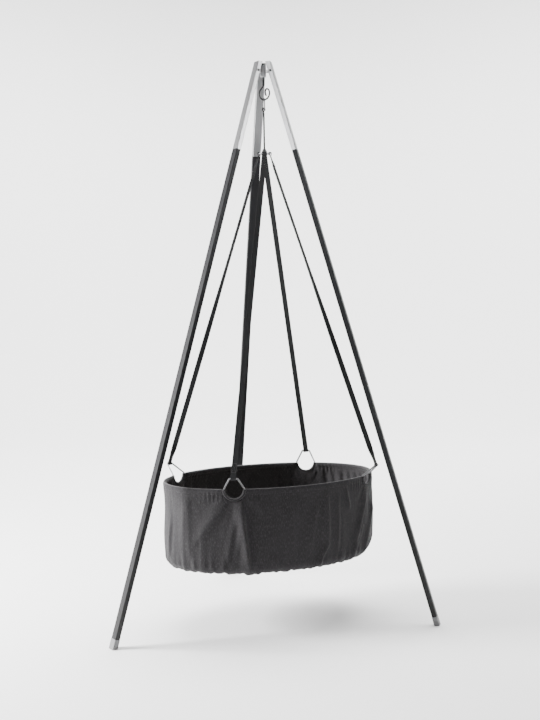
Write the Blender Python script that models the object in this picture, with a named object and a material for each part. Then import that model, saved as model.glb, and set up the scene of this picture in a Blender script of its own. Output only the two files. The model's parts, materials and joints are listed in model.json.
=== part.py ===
"""Hanging bassinet on a tripod stand.

Three hinged legs meet at an apex bracket.  A swivelling hook under the bracket carries a link,
a short cord and a hub disc, and four webbing straps run from the disc to steel rings in the rim
of an oval fabric tub.  Metres, +Z up, the front of the stand towards -Y.
"""
import math

import bmesh
import bpy
from mathutils import Matrix, Vector

# ---- Driving dimensions ----------------------------------------------------------------------
STAND_HEIGHT = 1.815          # floor to the flat-cut leg tops
# Distance from the plumb line to the middle of each foot.
FOOT_RADII = {"left": 0.580, "right": 0.543, "rear": 0.583}
APEX_RADIUS = 0.0185          # plumb line to a leg's middle at its top
LEG_AZIMUTHS = {"left": -145.2, "right": -15.4, "rear": 104.6}
HINGE_HEIGHT = 1.784
SPLICE_HEIGHT = 1.523         # where the bright upper leg meets the dark lower leg

CRADLE_AZIMUTH = 25.3         # direction of the tub's long axis
RIM_HALF_LENGTH = 0.361
RIM_HALF_WIDTH = 0.249
RIM_HEIGHT = 0.462
TUB_BOTTOM = 0.198
# Ellipse angle of each ring, from the right end of the long axis.
RING_ANGLES = {"rear": 50.0, "right": 319.0, "front": 233.5, "left": 135.0}
HUB_HEADINGS = {"right": 0, "rear": 90, "left": 180, "front": 270}

GAP = 0.0003                  # between pieces that touch
RUNNING_GAP = 0.0005          # round a piece that turns
TOOL_MARGIN = 0.010           # how far a cutting body runs past what it cuts
FILLET_STEPS = 3
ROUND_SIDES = 16              # sides of a small round body
CRADLE_TURN = math.radians(CRADLE_AZIMUTH)

# ---- Legs ------------------------------------------------------------------------------------
LEG_WIDTH = 0.027
LEG_DEPTH = 0.0155
LEG_WALL = 0.0016
LEG_CORNER = 0.0018
CAP_HEIGHT = 0.027
CAP_PROUD = 0.0006
CAP_PLUG = 0.022
TOP_WALL = 0.0025
SPIGOT_LENGTH = 0.120
PIN_RADIUS = 0.0025
PIN_HEAD_RADIUS = 0.0042
PIN_HEAD_LENGTH = 0.0022
PIN_END_RADIUS = 0.0034
LUG_THICKNESS = 0.006
LUG_RADIUS = 0.0052
LUG_SIDES = 24
SLOT_WIDTH = 0.0072
SLOT_BELOW_PIN = 0.0065
SLOT_ABOVE_PIN = 0.0110
CORE_RADIUS = 0.0095
CORE_BOTTOM = 1.766
CORE_TOP = 1.800
CORE_SIDES = 28
ARM_START = 0.003             # inside the core, clear of the bore
NOSE_PROUD = 0.0001           # keeps a lug's round end off the arm's own faces

# ---- Hook, link and cord ---------------------------------------------------------------------
MILLIMETRE = 0.001
HOOK_ROUTE = [(0, 49), (-1.5, 43.5), (-7, 36.5), (-12.5, 28.5), (-15.5, 18.5), (-13.5, 8.5),
              (-7.5, 2.3), (0, 0), (7.5, 2.3), (14.8, 7.2), (19.5, 14.8), (21.8, 24), (20, 33.2),
              (14, 37.8), (8.3, 34.2), (6.2, 27), (7.4, 19.5), (9.8, 13.5)]
HOOK_WIRE = 0.00275
SHANK_RADIUS = 0.0025
SHANK_TOP = 1.8085
COLLAR_RADIUS = 0.00425
COLLAR_CHAMFER = 0.001
COLLAR_FOOT = 0.7             # radius of the chamfered end over the collar's own
COLLAR_TOP = 1.758
COLLAR_BOTTOM = 1.739
HOOK_SEAT = 1.692             # middle of the wire at the bottom of the hook
WASHER_RADIUS = 0.0065
WASHER_THICKNESS = 0.001
NUT_RADIUS = 0.0055
NUT_HEIGHT = 0.0045
NUT_SIDES = 6
LINK_WIRE = 0.002
LINK_HALF_WIDTH = 0.007
LINK_LENGTH = 0.0362
CORD_RADIUS = 0.002
EYE_RADIUS = 0.0048
KNOT_RADIUS = 0.0058
KNOT_END = 0.6                # radius of the knot's flat ends over its own
KNOT_HALF = 0.0046
CONE_TOP = 1.533
CONE_TOP_RADIUS = 0.0036
CONE_BASE_RADIUS = 0.0100
CONE_LIP_HEIGHT = 0.004
CONE_LIP_RADIUS = 0.0092
CORD_SIDES = 12
CORD_EYE_STEPS = 16
LINK_STEPS = 8                # per end of the oval

# ---- Hub disc and straps ---------------------------------------------------------------------
DISC_HEIGHT = 1.516
DISC_RADIUS = 0.0205
DISC_THICKNESS = 0.0026
DISC_SIDES = 32
DISC_SLOT_INNER = 0.0118
DISC_SLOT_OUTER = 0.0150
STRAP_WIDTH = 0.017
STRAP_THICKNESS = 0.0018
STRAP_SLACK = 0.0004          # room between a strap's loop and what it goes round
STRAP_STATIONS = 14
STRAP_CORNER_STEPS = 3
STRAP_LOOP_CORNER = 0.98      # corner radius of the ring loop over its half width

# ---- Rings and tub ---------------------------------------------------------------------------
RING_WIRE = 0.00275
RING_ARC = 0.032
RING_TOP_HALF = 0.0125
RING_SIDE_LENGTH = 0.048
RING_LEANS = {"rear": 40, "right": 48, "front": 40, "left": 48}
RING_BEND = 0.0035
RING_STEPS = 14
SLEEVE_RADIUS = 0.005
SLEEVE_BORE = 0.0036
SLEEVE_END_ANGLE = 6.0
SLEEVE_STEPS = 12
SLEEVE_SIDES = 8
TUB_WALL = 0.004
TUB_TAPER = 0.985             # bottom outline over rim outline
TUB_EDGE = 0.026              # radius of the bottom edge
TUB_EDGE_STEPS = 4
NOTCH_SIDES = 32
TUB_SEGMENTS = 64
ROD_RADIUS = 0.0025
ROD_DROP = 0.006
ROD_CLEARANCE = 0.0015        # the rod and the wall are both made of short straight runs
ROD_STEPS = 16
ROD_END_CLEARANCE = 0.004
BOARD_THICKNESS = 0.005
BOARD_INSET = 0.034
MATTRESS_THICKNESS = 0.035
MATTRESS_INSET = 0.0075
MATTRESS_EDGE = 0.012
MATTRESS_BEVEL = 0.004
MATTRESS_DRAFT = 0.002        # how much narrower the pad is at its lower edge

PALETTE = {
    "bright_leg": ((0.62, 0.62, 0.63), 0.32, 0.9),
    "dark_leg": ((0.035, 0.035, 0.038), 0.38, 0.5),
    "foot": ((0.42, 0.42, 0.43), 0.5, 0.0),
    "bracket": ((0.25, 0.25, 0.26), 0.45, 0.9),
    "inner_metal": ((0.55, 0.55, 0.56), 0.4, 0.9),
    "dark_steel": ((0.06, 0.06, 0.065), 0.35, 0.9),
    "bright_steel": ((0.6, 0.6, 0.6), 0.25, 1.0),
    "cord": ((0.03, 0.03, 0.03), 0.9, 0.0),
    "cone": ((0.02, 0.02, 0.02), 0.6, 0.0),
    "webbing": ((0.018, 0.018, 0.02), 0.85, 0.0),
    "cloth": ((0.055, 0.052, 0.06), 0.95, 0.0),
    "board": ((0.5, 0.36, 0.22), 0.7, 0.0),
    "ticking": ((0.8, 0.79, 0.76), 0.95, 0.0),
}


# ---- Materials and objects -------------------------------------------------------------------
def material(name):
    """A Principled material from the palette, made once."""
    found = bpy.data.materials.get(name)
    if found:
        return found
    colour, roughness, metallic = PALETTE[name]
    made = bpy.data.materials.new(name)
    made.use_nodes = True
    shader = made.node_tree.nodes["Principled BSDF"]
    shader.inputs["Base Color"].default_value = (*colour, 1.0)
    shader.inputs["Roughness"].default_value = roughness
    shader.inputs["Metallic"].default_value = metallic
    return made


def add_empty(name, parent=None, matrix=None):
    """A frame that pieces hang on, placed in its parent's space."""
    empty = bpy.data.objects.new(name, None)
    bpy.context.collection.objects.link(empty)
    empty.parent = parent
    if matrix is not None:
        empty.matrix_local = matrix
    return empty


def add_mesh(name, mesh, finish, parent):
    """One named piece in its parent's space."""
    piece = bpy.data.objects.new(name, mesh)
    bpy.context.collection.objects.link(piece)
    piece.parent = parent
    mesh.materials.clear()
    mesh.materials.append(material(finish))
    return piece


def finished(builder, name, smooth_below=35.0):
    """Turns a bmesh into a mesh with outward faces and sharp edges where it is angular."""
    bmesh.ops.recalc_face_normals(builder, faces=builder.faces)
    mesh = bpy.data.meshes.new(name)
    builder.to_mesh(mesh)
    builder.free()
    mesh.shade_smooth()
    mesh.set_sharp_from_angle(angle=math.radians(smooth_below))
    return mesh


def combine(target, tool, operation):
    """Applies a Boolean with a temporary tool and removes the tool."""
    cut = target.modifiers.new("cut", "BOOLEAN")
    cut.operation = operation
    cut.solver = "EXACT"
    cut.object = tool
    bpy.context.view_layer.update()
    graph = bpy.context.evaluated_depsgraph_get()
    mesh = bpy.data.meshes.new_from_object(target.evaluated_get(graph))
    target.modifiers.clear()
    target.data = mesh
    bpy.data.objects.remove(tool)
    return target


# ---- Outlines and bodies ---------------------------------------------------------------------
def rounded_rectangle(half_x, half_y, radius, steps=3):
    """Corner arcs of a rectangle, anticlockwise."""
    centres = [(1, 1), (-1, 1), (-1, -1), (1, -1)]
    points = []
    for quarter, (sx, sy) in enumerate(centres):
        for step in range(steps + 1):
            angle = math.radians(90 * (quarter + step / steps))
            points.append((sx * (half_x - radius) + radius * math.cos(angle),
                           sy * (half_y - radius) + radius * math.sin(angle)))
    return points


def skin(builder, loops, ring=False):
    """Joins loops of equal length with quads, and closes the ends or joins last to first."""
    rows = [[builder.verts.new(point) for point in loop] for loop in loops]
    count = len(rows[0])
    spans = list(zip(rows, rows[1:] + rows[:1])) if ring else list(zip(rows, rows[1:]))
    for lower, upper in spans:
        for i in range(count):
            j = (i + 1) % count
            builder.faces.new((lower[i], lower[j], upper[j], upper[i]))
    if not ring:
        builder.faces.new(rows[0][::-1])
        builder.faces.new(rows[-1])


def turned(name, profile, segments, finish, parent, centre=(0, 0, 0), turn=None):
    """A body turned about Z from (radius, height) points, from bottom to top."""
    builder = bmesh.new()
    loops = []
    for radius, height in profile:
        loops.append([(radius * math.cos(math.tau * i / segments),
                       radius * math.sin(math.tau * i / segments), height)
                      for i in range(segments)])
    skin(builder, loops)
    place = Matrix.Translation(centre) @ (turn or Matrix.Identity(4))
    bmesh.ops.transform(builder, matrix=place, verts=builder.verts)
    return add_mesh(name, finished(builder, name), finish, parent)


def box(name, low, high, parent):
    """A plain block between two corners, used as a Boolean tool."""
    builder = bmesh.new()
    bmesh.ops.create_cube(builder, size=1.0)
    size = Vector(high) - Vector(low)
    middle = (Vector(high) + Vector(low)) / 2
    place = Matrix.Translation(middle) @ Matrix.Diagonal((*size, 1.0))
    bmesh.ops.transform(builder, matrix=place, verts=builder.verts)
    return add_mesh(name, finished(builder, name), "bracket", parent)


def smooth_route(points, per_span):
    """Catmull-Rom points through a short list of route points."""
    route = [Vector(p) for p in points]
    padded = [2 * route[0] - route[1], *route, 2 * route[-1] - route[-2]]
    result = []
    for a, b, c, d in zip(padded, padded[1:], padded[2:], padded[3:]):
        for step in range(per_span):
            t = step / per_span
            result.append(0.5 * (2 * b + (c - a) * t + (2 * a - 5 * b + 4 * c - d) * t * t
                                 + (3 * b - a - 3 * c + d) * t ** 3))
    return [*result, route[-1]]


def filleted(corners, radius, steps=FILLET_STEPS):
    """A closed path whose corners are replaced by short arcs."""
    result = []
    count = len(corners)
    for i, corner in enumerate(corners):
        before = (corners[i - 1] - corner).normalized()
        after = (corners[(i + 1) % count] - corner).normalized()
        inner = before.angle(after)
        reach = radius / math.tan(inner / 2)
        for step in range(steps + 1):
            t = step / steps
            start = corner + before * reach
            end = corner + after * reach
            result.append(start.lerp(corner, t).lerp(corner.lerp(end, t), t))
    return result


def wire(name, points, radius, finish, parent, closed=False, resolution=2):
    """A round wire along a path, as a mesh made from a bevelled curve."""
    curve = bpy.data.curves.new(name, "CURVE")
    curve.dimensions = "3D"
    curve.bevel_depth = radius
    curve.bevel_resolution = resolution
    curve.use_fill_caps = True
    spline = curve.splines.new("POLY")
    spline.points.add(len(points) - 1)
    spline.use_cyclic_u = closed
    for place, point in zip(spline.points, points):
        place.co = (*point, 1.0)
    holder = bpy.data.objects.new(name + "_path", curve)
    bpy.context.collection.objects.link(holder)
    bpy.context.view_layer.update()
    graph = bpy.context.evaluated_depsgraph_get()
    mesh = bpy.data.meshes.new_from_object(holder.evaluated_get(graph))
    bpy.data.objects.remove(holder)
    builder = bmesh.new()
    builder.from_mesh(mesh)
    bmesh.ops.remove_doubles(builder, verts=builder.verts, dist=1e-6)
    return add_mesh(name, finished(builder, name), finish, parent)


# ---- Legs ------------------------------------------------------------------------------------
LEG_OUTER = rounded_rectangle(LEG_DEPTH / 2, LEG_WIDTH / 2, LEG_CORNER)
LEG_INNER = rounded_rectangle(LEG_DEPTH / 2 - LEG_WALL, LEG_WIDTH / 2 - LEG_WALL, LEG_CORNER / 3)
PLUG = rounded_rectangle(LEG_DEPTH / 2 - LEG_WALL - GAP, LEG_WIDTH / 2 - LEG_WALL - GAP,
                         LEG_CORNER / 3)
CAP_OUTER = rounded_rectangle(LEG_DEPTH / 2 + CAP_PROUD, LEG_WIDTH / 2 + CAP_PROUD, LEG_CORNER)
SIDEWAYS = Matrix.Rotation(math.pi / 2, 4, "X")


def leg_tilt(side):
    """Angle of a leg from upright."""
    return math.atan((FOOT_RADII[side] - APEX_RADIUS) / STAND_HEIGHT)


def hinge_radius(side):
    """Distance from the plumb line to a leg's hinge."""
    return APEX_RADIUS + (STAND_HEIGHT - HINGE_HEIGHT) * math.tan(leg_tilt(side))


def level_loop(outline, height, side):
    """A leg's outline cut by a level plane, in the leg's own tilted frame."""
    rise = height - HINGE_HEIGHT
    tilt = leg_tilt(side)
    return [(x, y, (rise - x * math.sin(tilt)) / math.cos(tilt)) for x, y in outline]


def square_loop(outline, along):
    """A leg's outline cut square to the leg."""
    return [(x, y, along) for x, y in outline]


def along_leg(height, side):
    """Distance from the hinge to a height on the leg's middle line."""
    return (height - HINGE_HEIGHT) / math.cos(leg_tilt(side))


def upper_leg(side, frame):
    """Bright upper section: closed flat top, slot for the lug and a cross hole for the pin."""
    name = side + "_upper_leg"
    end = along_leg(SPLICE_HEIGHT, side)
    builder = bmesh.new()
    skin(builder, [level_loop(LEG_INNER, STAND_HEIGHT - TOP_WALL, side),
                   square_loop(LEG_INNER, end), square_loop(LEG_OUTER, end),
                   level_loop(LEG_OUTER, STAND_HEIGHT, side)])
    leg = add_mesh(name, finished(builder, name), "bright_leg", frame)
    reach = LEG_DEPTH / 2 + CAP_PROUD
    slot = box("slot", (-reach, -SLOT_WIDTH / 2, -SLOT_BELOW_PIN),
               (-LEG_DEPTH / 2 + 2 * LEG_WALL, SLOT_WIDTH / 2, SLOT_ABOVE_PIN), frame)
    combine(leg, slot, "DIFFERENCE")
    hole = turned("hole", [(PIN_RADIUS + GAP, -LEG_WIDTH), (PIN_RADIUS + GAP, LEG_WIDTH)],
                  ROUND_SIDES, "bracket", frame, turn=SIDEWAYS)
    return combine(leg, hole, "DIFFERENCE")


def lower_leg(side, frame):
    """Dark lower section, open at both ends."""
    top = along_leg(SPLICE_HEIGHT, side) - GAP
    low = along_leg(CAP_HEIGHT, side) + GAP
    loops = [square_loop(LEG_OUTER, low), square_loop(LEG_OUTER, top),
             square_loop(LEG_INNER, top), square_loop(LEG_INNER, low)]
    builder = bmesh.new()
    skin(builder, loops, ring=True)
    return add_mesh(side + "_lower_leg", finished(builder, "lower_leg"), "dark_leg", frame)


def spigot(side, frame):
    """Solid bar inside the splice."""
    middle = along_leg(SPLICE_HEIGHT, side)
    builder = bmesh.new()
    skin(builder, [square_loop(PLUG, middle - SPIGOT_LENGTH / 2),
                   square_loop(PLUG, middle + SPIGOT_LENGTH / 2)])
    return add_mesh(side + "_spigot", finished(builder, "spigot"), "inner_metal", frame)


def foot_cap(side, frame):
    """Foot with a level bottom and a plug up the tube."""
    shoulder = along_leg(CAP_HEIGHT, side)
    builder = bmesh.new()
    skin(builder, [level_loop(CAP_OUTER, 0.0, side), square_loop(CAP_OUTER, shoulder),
                   square_loop(PLUG, shoulder), square_loop(PLUG, shoulder + CAP_PLUG)])
    return add_mesh(side + "_foot_cap", finished(builder, "foot_cap"), "foot", frame)


def hinge_pin(side, frame):
    """Screw through the leg's side walls and the bracket's lug, with a head and a nut."""
    face = LEG_WIDTH / 2 + GAP
    edge = face + PIN_HEAD_LENGTH
    profile = [(PIN_HEAD_RADIUS, -edge), (PIN_HEAD_RADIUS, -face), (PIN_RADIUS, -face),
               (PIN_RADIUS, face), (PIN_HEAD_RADIUS, face), (PIN_END_RADIUS, edge)]
    return turned(side + "_hinge_pin", profile, ROUND_SIDES, "dark_steel", frame,
                  turn=SIDEWAYS)


def build_leg(side, azimuth, assembly):
    """Everything that turns with one leg, on an empty at the hinge."""
    heading = Matrix.Rotation(math.radians(azimuth), 4, "Z")
    place = heading @ Matrix.Translation((hinge_radius(side), 0, HINGE_HEIGHT))
    tilt = Matrix.Rotation(-leg_tilt(side), 4, "Y")
    frame = add_empty(side + "_leg_hinge", assembly, place @ tilt)
    upper_leg(side, frame)
    lower_leg(side, frame)
    spigot(side, frame)
    foot_cap(side, frame)
    hinge_pin(side, frame)


def apex_bracket(assembly):
    """Round core with one lug for each leg and a bore for the hook's shank."""
    core = turned("apex_bracket", [(CORE_RADIUS, CORE_BOTTOM), (CORE_RADIUS, CORE_TOP)], CORE_SIDES,
                  "bracket", assembly)
    for side, azimuth in LEG_AZIMUTHS.items():
        heading = Matrix.Rotation(math.radians(azimuth), 4, "Z")
        half = LUG_THICKNESS / 2
        reach = hinge_radius(side)
        arm = box("arm", (ARM_START, -half, -LUG_RADIUS), (reach, half, LUG_RADIUS), assembly)
        arm.matrix_local = heading @ Matrix.Translation((0, 0, HINGE_HEIGHT))
        nose = turned("nose", [(LUG_RADIUS + NOSE_PROUD, -half - NOSE_PROUD),
                               (LUG_RADIUS + NOSE_PROUD, half + NOSE_PROUD)], LUG_SIDES,
                      "bracket", assembly, turn=SIDEWAYS)
        nose.matrix_local = heading @ Matrix.Translation((reach, 0, HINGE_HEIGHT))
        hole = turned("hole", [(PIN_RADIUS + GAP, -LEG_WIDTH), (PIN_RADIUS + GAP, LEG_WIDTH)],
                      ROUND_SIDES, "bracket", assembly, turn=SIDEWAYS)
        hole.matrix_local = heading @ Matrix.Translation((reach, 0, HINGE_HEIGHT))
        combine(core, arm, "UNION")
        combine(core, nose, "UNION")
        combine(core, hole, "DIFFERENCE")
    bore = SHANK_RADIUS + RUNNING_GAP
    drill = turned("drill", [(bore, CORE_BOTTOM - TOOL_MARGIN), (bore, CORE_TOP + TOOL_MARGIN)],
                   ROUND_SIDES, "bracket", assembly)
    return combine(core, drill, "DIFFERENCE")


# ---- Hook, link, cord and hub ----------------------------------------------------------------



def hanging_hook(frame):
    """Shank and collar with a wire hook whose tip is curled into an eye."""
    route = [(x * MILLIMETRE, 0, HOOK_SEAT + z * MILLIMETRE) for x, z in HOOK_ROUTE]
    hook = wire("hanging_hook", smooth_route(route, 2), HOOK_WIRE, "dark_steel", frame)
    shank = turned("shank", [(COLLAR_RADIUS * COLLAR_FOOT, COLLAR_BOTTOM - COLLAR_CHAMFER),
                             (COLLAR_RADIUS, COLLAR_BOTTOM + COLLAR_CHAMFER),
                             (COLLAR_RADIUS, COLLAR_TOP),
                             (SHANK_RADIUS, COLLAR_TOP), (SHANK_RADIUS, SHANK_TOP)],
                   ROUND_SIDES, "dark_steel", frame)
    return combine(hook, shank, "UNION")


def bored(name, radius, low, high, bore, segments, finish, frame):
    """A washer or nut with a through hole."""
    body = turned(name, [(radius, low), (radius, high)], segments, finish, frame)
    drill = turned("drill", [(bore, low - TOOL_MARGIN), (bore, high + TOOL_MARGIN)],
                   ROUND_SIDES, finish, frame)
    return combine(body, drill, "DIFFERENCE")


def build_hook(frame):
    """The hook body: hook, washer and nut."""
    hanging_hook(frame)
    washer_low = CORE_TOP + GAP
    nut_low = washer_low + WASHER_THICKNESS + GAP
    bore = SHANK_RADIUS + GAP
    bored("swivel_washer", WASHER_RADIUS, washer_low, washer_low + WASHER_THICKNESS, bore,
          ROUND_SIDES, "inner_metal", frame)
    bored("swivel_nut", NUT_RADIUS, nut_low, nut_low + NUT_HEIGHT, bore, NUT_SIDES,
          "inner_metal", frame)


LINK_TOP = HOOK_SEAT + HOOK_WIRE + LINK_WIRE + GAP
LINK_BOTTOM = LINK_TOP - LINK_LENGTH


def oval_link(frame):
    """Closed oval of wire, standing across the hook."""
    points = []
    for end, centre in ((0, LINK_TOP - LINK_HALF_WIDTH), (1, LINK_BOTTOM + LINK_HALF_WIDTH)):
        for step in range(LINK_STEPS + 1):
            angle = math.pi * (end + step / LINK_STEPS)
            points.append((0, LINK_HALF_WIDTH * math.cos(angle),
                           centre + LINK_HALF_WIDTH * math.sin(angle)))
    return wire("oval_link", points, LINK_WIRE, "bright_steel", frame, closed=True)


def suspension_cord(frame):
    """Cord with an eye round the link, a straight run through the hub and a stopper knot."""
    turns = [math.tau * i / CORD_EYE_STEPS for i in range(CORD_EYE_STEPS)]
    eye = [(EYE_RADIUS * math.cos(turn), 0, LINK_BOTTOM + EYE_RADIUS * math.sin(turn))
           for turn in turns]
    cord = wire("suspension_cord", eye, CORD_RADIUS, "cord", frame, closed=True)
    knot = DISC_HEIGHT - DISC_THICKNESS / 2 - GAP - KNOT_RADIUS
    run = turned("run", [(KNOT_RADIUS * KNOT_END, knot - KNOT_HALF), (KNOT_RADIUS, knot),
                         (KNOT_RADIUS * KNOT_END, knot + KNOT_HALF),
                         (CORD_RADIUS, knot + KNOT_RADIUS),
                         (CORD_RADIUS, LINK_BOTTOM - EYE_RADIUS)], CORD_SIDES, "cord", frame)
    return combine(cord, run, "UNION")


def hub_disc(frame):
    """Round plate with a centre hole and four slots, one for each strap."""
    low = DISC_HEIGHT - DISC_THICKNESS / 2
    high = DISC_HEIGHT + DISC_THICKNESS / 2
    disc = bored("hub_disc", DISC_RADIUS, low, high, CORD_RADIUS + GAP, DISC_SIDES,
                 "bright_steel", frame)
    half = STRAP_WIDTH / 2 + STRAP_SLACK * 2
    for quarter in range(4):
        slot = box("slot", (DISC_SLOT_INNER, -half, low - TOOL_MARGIN),
                   (DISC_SLOT_OUTER, half, high + TOOL_MARGIN), frame)
        slot.matrix_local = Matrix.Rotation(quarter * math.pi / 2 - CRADLE_TURN, 4, "Z")
        combine(disc, slot, "DIFFERENCE")
    return disc


def hub_cone(frame):
    """Tapered cover that grips the cord above the disc."""
    low = DISC_HEIGHT + DISC_THICKNESS / 2 + GAP
    cone = turned("hub_cone", [(CONE_BASE_RADIUS, low), (CONE_LIP_RADIUS, low + CONE_LIP_HEIGHT),
                               (CONE_TOP_RADIUS, CONE_TOP)], ROUND_SIDES, "cone", frame)
    bore = CORD_RADIUS + GAP
    drill = turned("drill", [(bore, low - TOOL_MARGIN), (bore, CONE_TOP + TOOL_MARGIN)],
                   CORD_SIDES, "cone", frame)
    return combine(cone, drill, "DIFFERENCE")


# ---- Rings and straps ------------------------------------------------------------------------

def axes_matrix(x_axis, y_axis, z_axis, origin):
    """A frame from three axes and an origin."""
    place = Matrix.Identity(4)
    for column, axis in enumerate((x_axis, y_axis, z_axis, origin)):
        for row in range(3):
            place[row][column] = axis[row]
    return place


def rim_point(angle, inset=0.0, height=RIM_HEIGHT, scale=1.0):
    """A point of the oval at an ellipse angle, moved in along its normal."""
    a = RIM_HALF_LENGTH * scale
    b = RIM_HALF_WIDTH * scale
    normal = Vector((math.cos(angle) / a, math.sin(angle) / b, 0)).normalized()
    return Vector((a * math.cos(angle), b * math.sin(angle), height)) - normal * inset


def ring_frame(side):
    """Axes at a ring: along the rim, outwards and up, with the middle of the wall as origin."""
    angle = math.radians(RING_ANGLES[side])
    outwards = (rim_point(angle) - rim_point(angle, TUB_WALL)).normalized()
    along = Vector((0, 0, 1)).cross(outwards)
    origin = rim_point(angle, TUB_WALL / 2)
    return axes_matrix(along, outwards, Vector((0, 0, 1)), origin)


def ring_top(side, along):
    """A point of a ring's top bar in the ring's own frame."""
    lean = math.radians(RING_LEANS[side])
    return Vector((along, RING_SIDE_LENGTH * math.sin(lean), RING_SIDE_LENGTH * math.cos(lean)))


def arc_points(start, end, steps):
    """Points of the ring's lower arc in the ring's own frame."""
    points = []
    for step in range(steps + 1):
        angle = math.radians(start + (end - start) * step / steps)
        points.append(Vector((RING_ARC * math.cos(angle), 0, RING_ARC * math.sin(angle))))
    return points


def rim_ring(side, frame):
    """D-shaped wire ring: an arc in the wall and a flat-topped upper part that leans out."""
    place = ring_frame(side)
    top_left = ring_top(side, -RING_TOP_HALF)
    top_right = ring_top(side, RING_TOP_HALF)
    lower = arc_points(180, 360, RING_STEPS)
    rounded = filleted([top_right, top_left, lower[0], lower[-1]], RING_BEND)
    top_bends = rounded[:2 * (FILLET_STEPS + 1)]
    path = [place @ point for point in top_bends + lower]
    return wire(side + "_ring", path, RING_WIRE, "bright_steel",
                frame, closed=True)


def ring_sleeve(side, frame):
    """Cloth sleeve round the ring's lower arc."""
    place = ring_frame(side)
    path = arc_points(180 + SLEEVE_END_ANGLE, 360 - SLEEVE_END_ANGLE, SLEEVE_STEPS)
    turns = [math.tau * i / SLEEVE_SIDES for i in range(SLEEVE_SIDES)]
    across = Vector((0, 1, 0))
    builder = bmesh.new()
    shells = []
    for radius in (SLEEVE_RADIUS, SLEEVE_BORE):
        loops = []
        for point in path:
            away = point.normalized()
            rim = [away * math.cos(turn) + across * math.sin(turn) for turn in turns]
            loops.append([place @ (point + radius * spoke) for spoke in rim])
        shells.append(loops)
    skin(builder, shells[0] + shells[1][::-1], ring=True)
    return add_mesh(side + "_ring_sleeve", finished(builder, "sleeve", 60), "cloth", frame)


def loop_prism(name, half_x, half_z, corner, place, frame):
    """A strap's sewn loop: a flat band bent round a bar that runs along the local Y axis."""
    inner = rounded_rectangle(half_x, half_z, corner, STRAP_CORNER_STEPS)
    outer = rounded_rectangle(half_x + STRAP_THICKNESS, half_z + STRAP_THICKNESS,
                              corner + STRAP_THICKNESS, STRAP_CORNER_STEPS)
    half = STRAP_WIDTH / 2 + GAP / 2
    builder = bmesh.new()
    loops = [[place @ Vector((x, y, z)) for x, z in outline]
             for outline, y in ((outer, -half), (outer, half), (inner, half), (inner, -half))]
    skin(builder, loops, ring=True)
    return add_mesh(name, finished(builder, name), "webbing", frame)


def strap(side, frame):
    """Webbing from a slot of the disc to a ring's top bar, turning on its way down."""
    heading = math.radians(HUB_HEADINGS[side]) - CRADLE_TURN
    out = Vector((math.cos(heading), math.sin(heading), 0))
    across = Vector((-math.sin(heading), math.cos(heading), 0))
    up = Vector((0, 0, 1))
    bar_half = (DISC_RADIUS - DISC_SLOT_OUTER) / 2
    bar = out * (DISC_SLOT_OUTER + bar_half) + up * DISC_HEIGHT
    hub_loop = loop_prism(side + "_strap", bar_half + STRAP_SLACK,
                          DISC_THICKNESS / 2 + STRAP_SLACK, STRAP_SLACK,
                          axes_matrix(out, across, up, bar), frame)
    ring = ring_frame(side)
    ring_bar = ring @ ring_top(side, 0)
    ring_across = (ring.to_3x3() @ Vector((-1, 0, 0))).normalized()
    if ring_across.dot(across) < 0:
        ring_across = -ring_across
    start = bar - up * (DISC_THICKNESS / 2 + STRAP_SLACK + STRAP_THICKNESS / 2)
    run = (ring_bar - start).normalized()
    seat = RING_WIRE + STRAP_SLACK
    end = ring_bar - run * (seat + STRAP_THICKNESS / 2)
    low_out = run.cross(ring_across).normalized()
    ring_loop = loop_prism("loop", seat, seat, seat * STRAP_LOOP_CORNER,
                           axes_matrix(low_out, ring_across, -run, ring_bar), frame)
    builder = bmesh.new()
    loops = []
    for station in range(STRAP_STATIONS + 1):
        t = station / STRAP_STATIONS
        wide = across.lerp(ring_across, t)
        wide = (wide - run * wide.dot(run)).normalized()
        thick = run.cross(wide)
        middle = start.lerp(end, t)
        corners = ((-1, -1), (1, -1), (1, 1), (-1, 1))
        loops.append([middle + wide * (p * STRAP_WIDTH / 2) + thick * (q * STRAP_THICKNESS / 2)
                      for p, q in corners])
    skin(builder, loops)
    band = add_mesh("band", finished(builder, "band", 60), "webbing", frame)
    combine(hub_loop, band, "UNION")
    return combine(hub_loop, ring_loop, "UNION")


# ---- Tub, rods, board and mattress -----------------------------------------------------------
def tub_profile(inset):
    """Heights and insets of the tub's wall from the bottom centre outwards and up to the rim."""
    edge = TUB_EDGE - inset
    bottom = TUB_BOTTOM + inset
    rows = []
    for step in range(TUB_EDGE_STEPS + 1):
        angle = math.radians(90 * step / TUB_EDGE_STEPS)
        rows.append((inset + edge * (1 - math.sin(angle)), bottom + edge * (1 - math.cos(angle))))
    rows.append((inset, RIM_HEIGHT))
    return rows


def oval_loop(inset, height):
    """One level loop of the tub, tapered from rim to bottom."""
    share = (height - TUB_BOTTOM) / (RIM_HEIGHT - TUB_BOTTOM)
    scale = TUB_TAPER + (1 - TUB_TAPER) * share
    return [rim_point(math.tau * i / TUB_SEGMENTS, inset, height, scale)
            for i in range(TUB_SEGMENTS)]


def cradle_fabric(frame):
    """Open oval tub with a half-round cutout in the rim at each ring."""
    outer = [oval_loop(inset, height) for inset, height in tub_profile(0.0)]
    inner = [oval_loop(inset, height) for inset, height in tub_profile(TUB_WALL)]
    builder = bmesh.new()
    skin(builder, inner + outer[::-1])
    tub = add_mesh("cradle_fabric", finished(builder, "tub", 50), "cloth", frame)
    radius = RING_ARC + SLEEVE_RADIUS + GAP
    for side in RING_ANGLES:
        notch = turned("notch", [(radius, -TOOL_MARGIN), (radius, TOOL_MARGIN)], NOTCH_SIDES,
                       "cloth", frame, turn=SIDEWAYS)
        notch.matrix_local = ring_frame(side)
        combine(tub, notch, "DIFFERENCE")
    return tub


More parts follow.
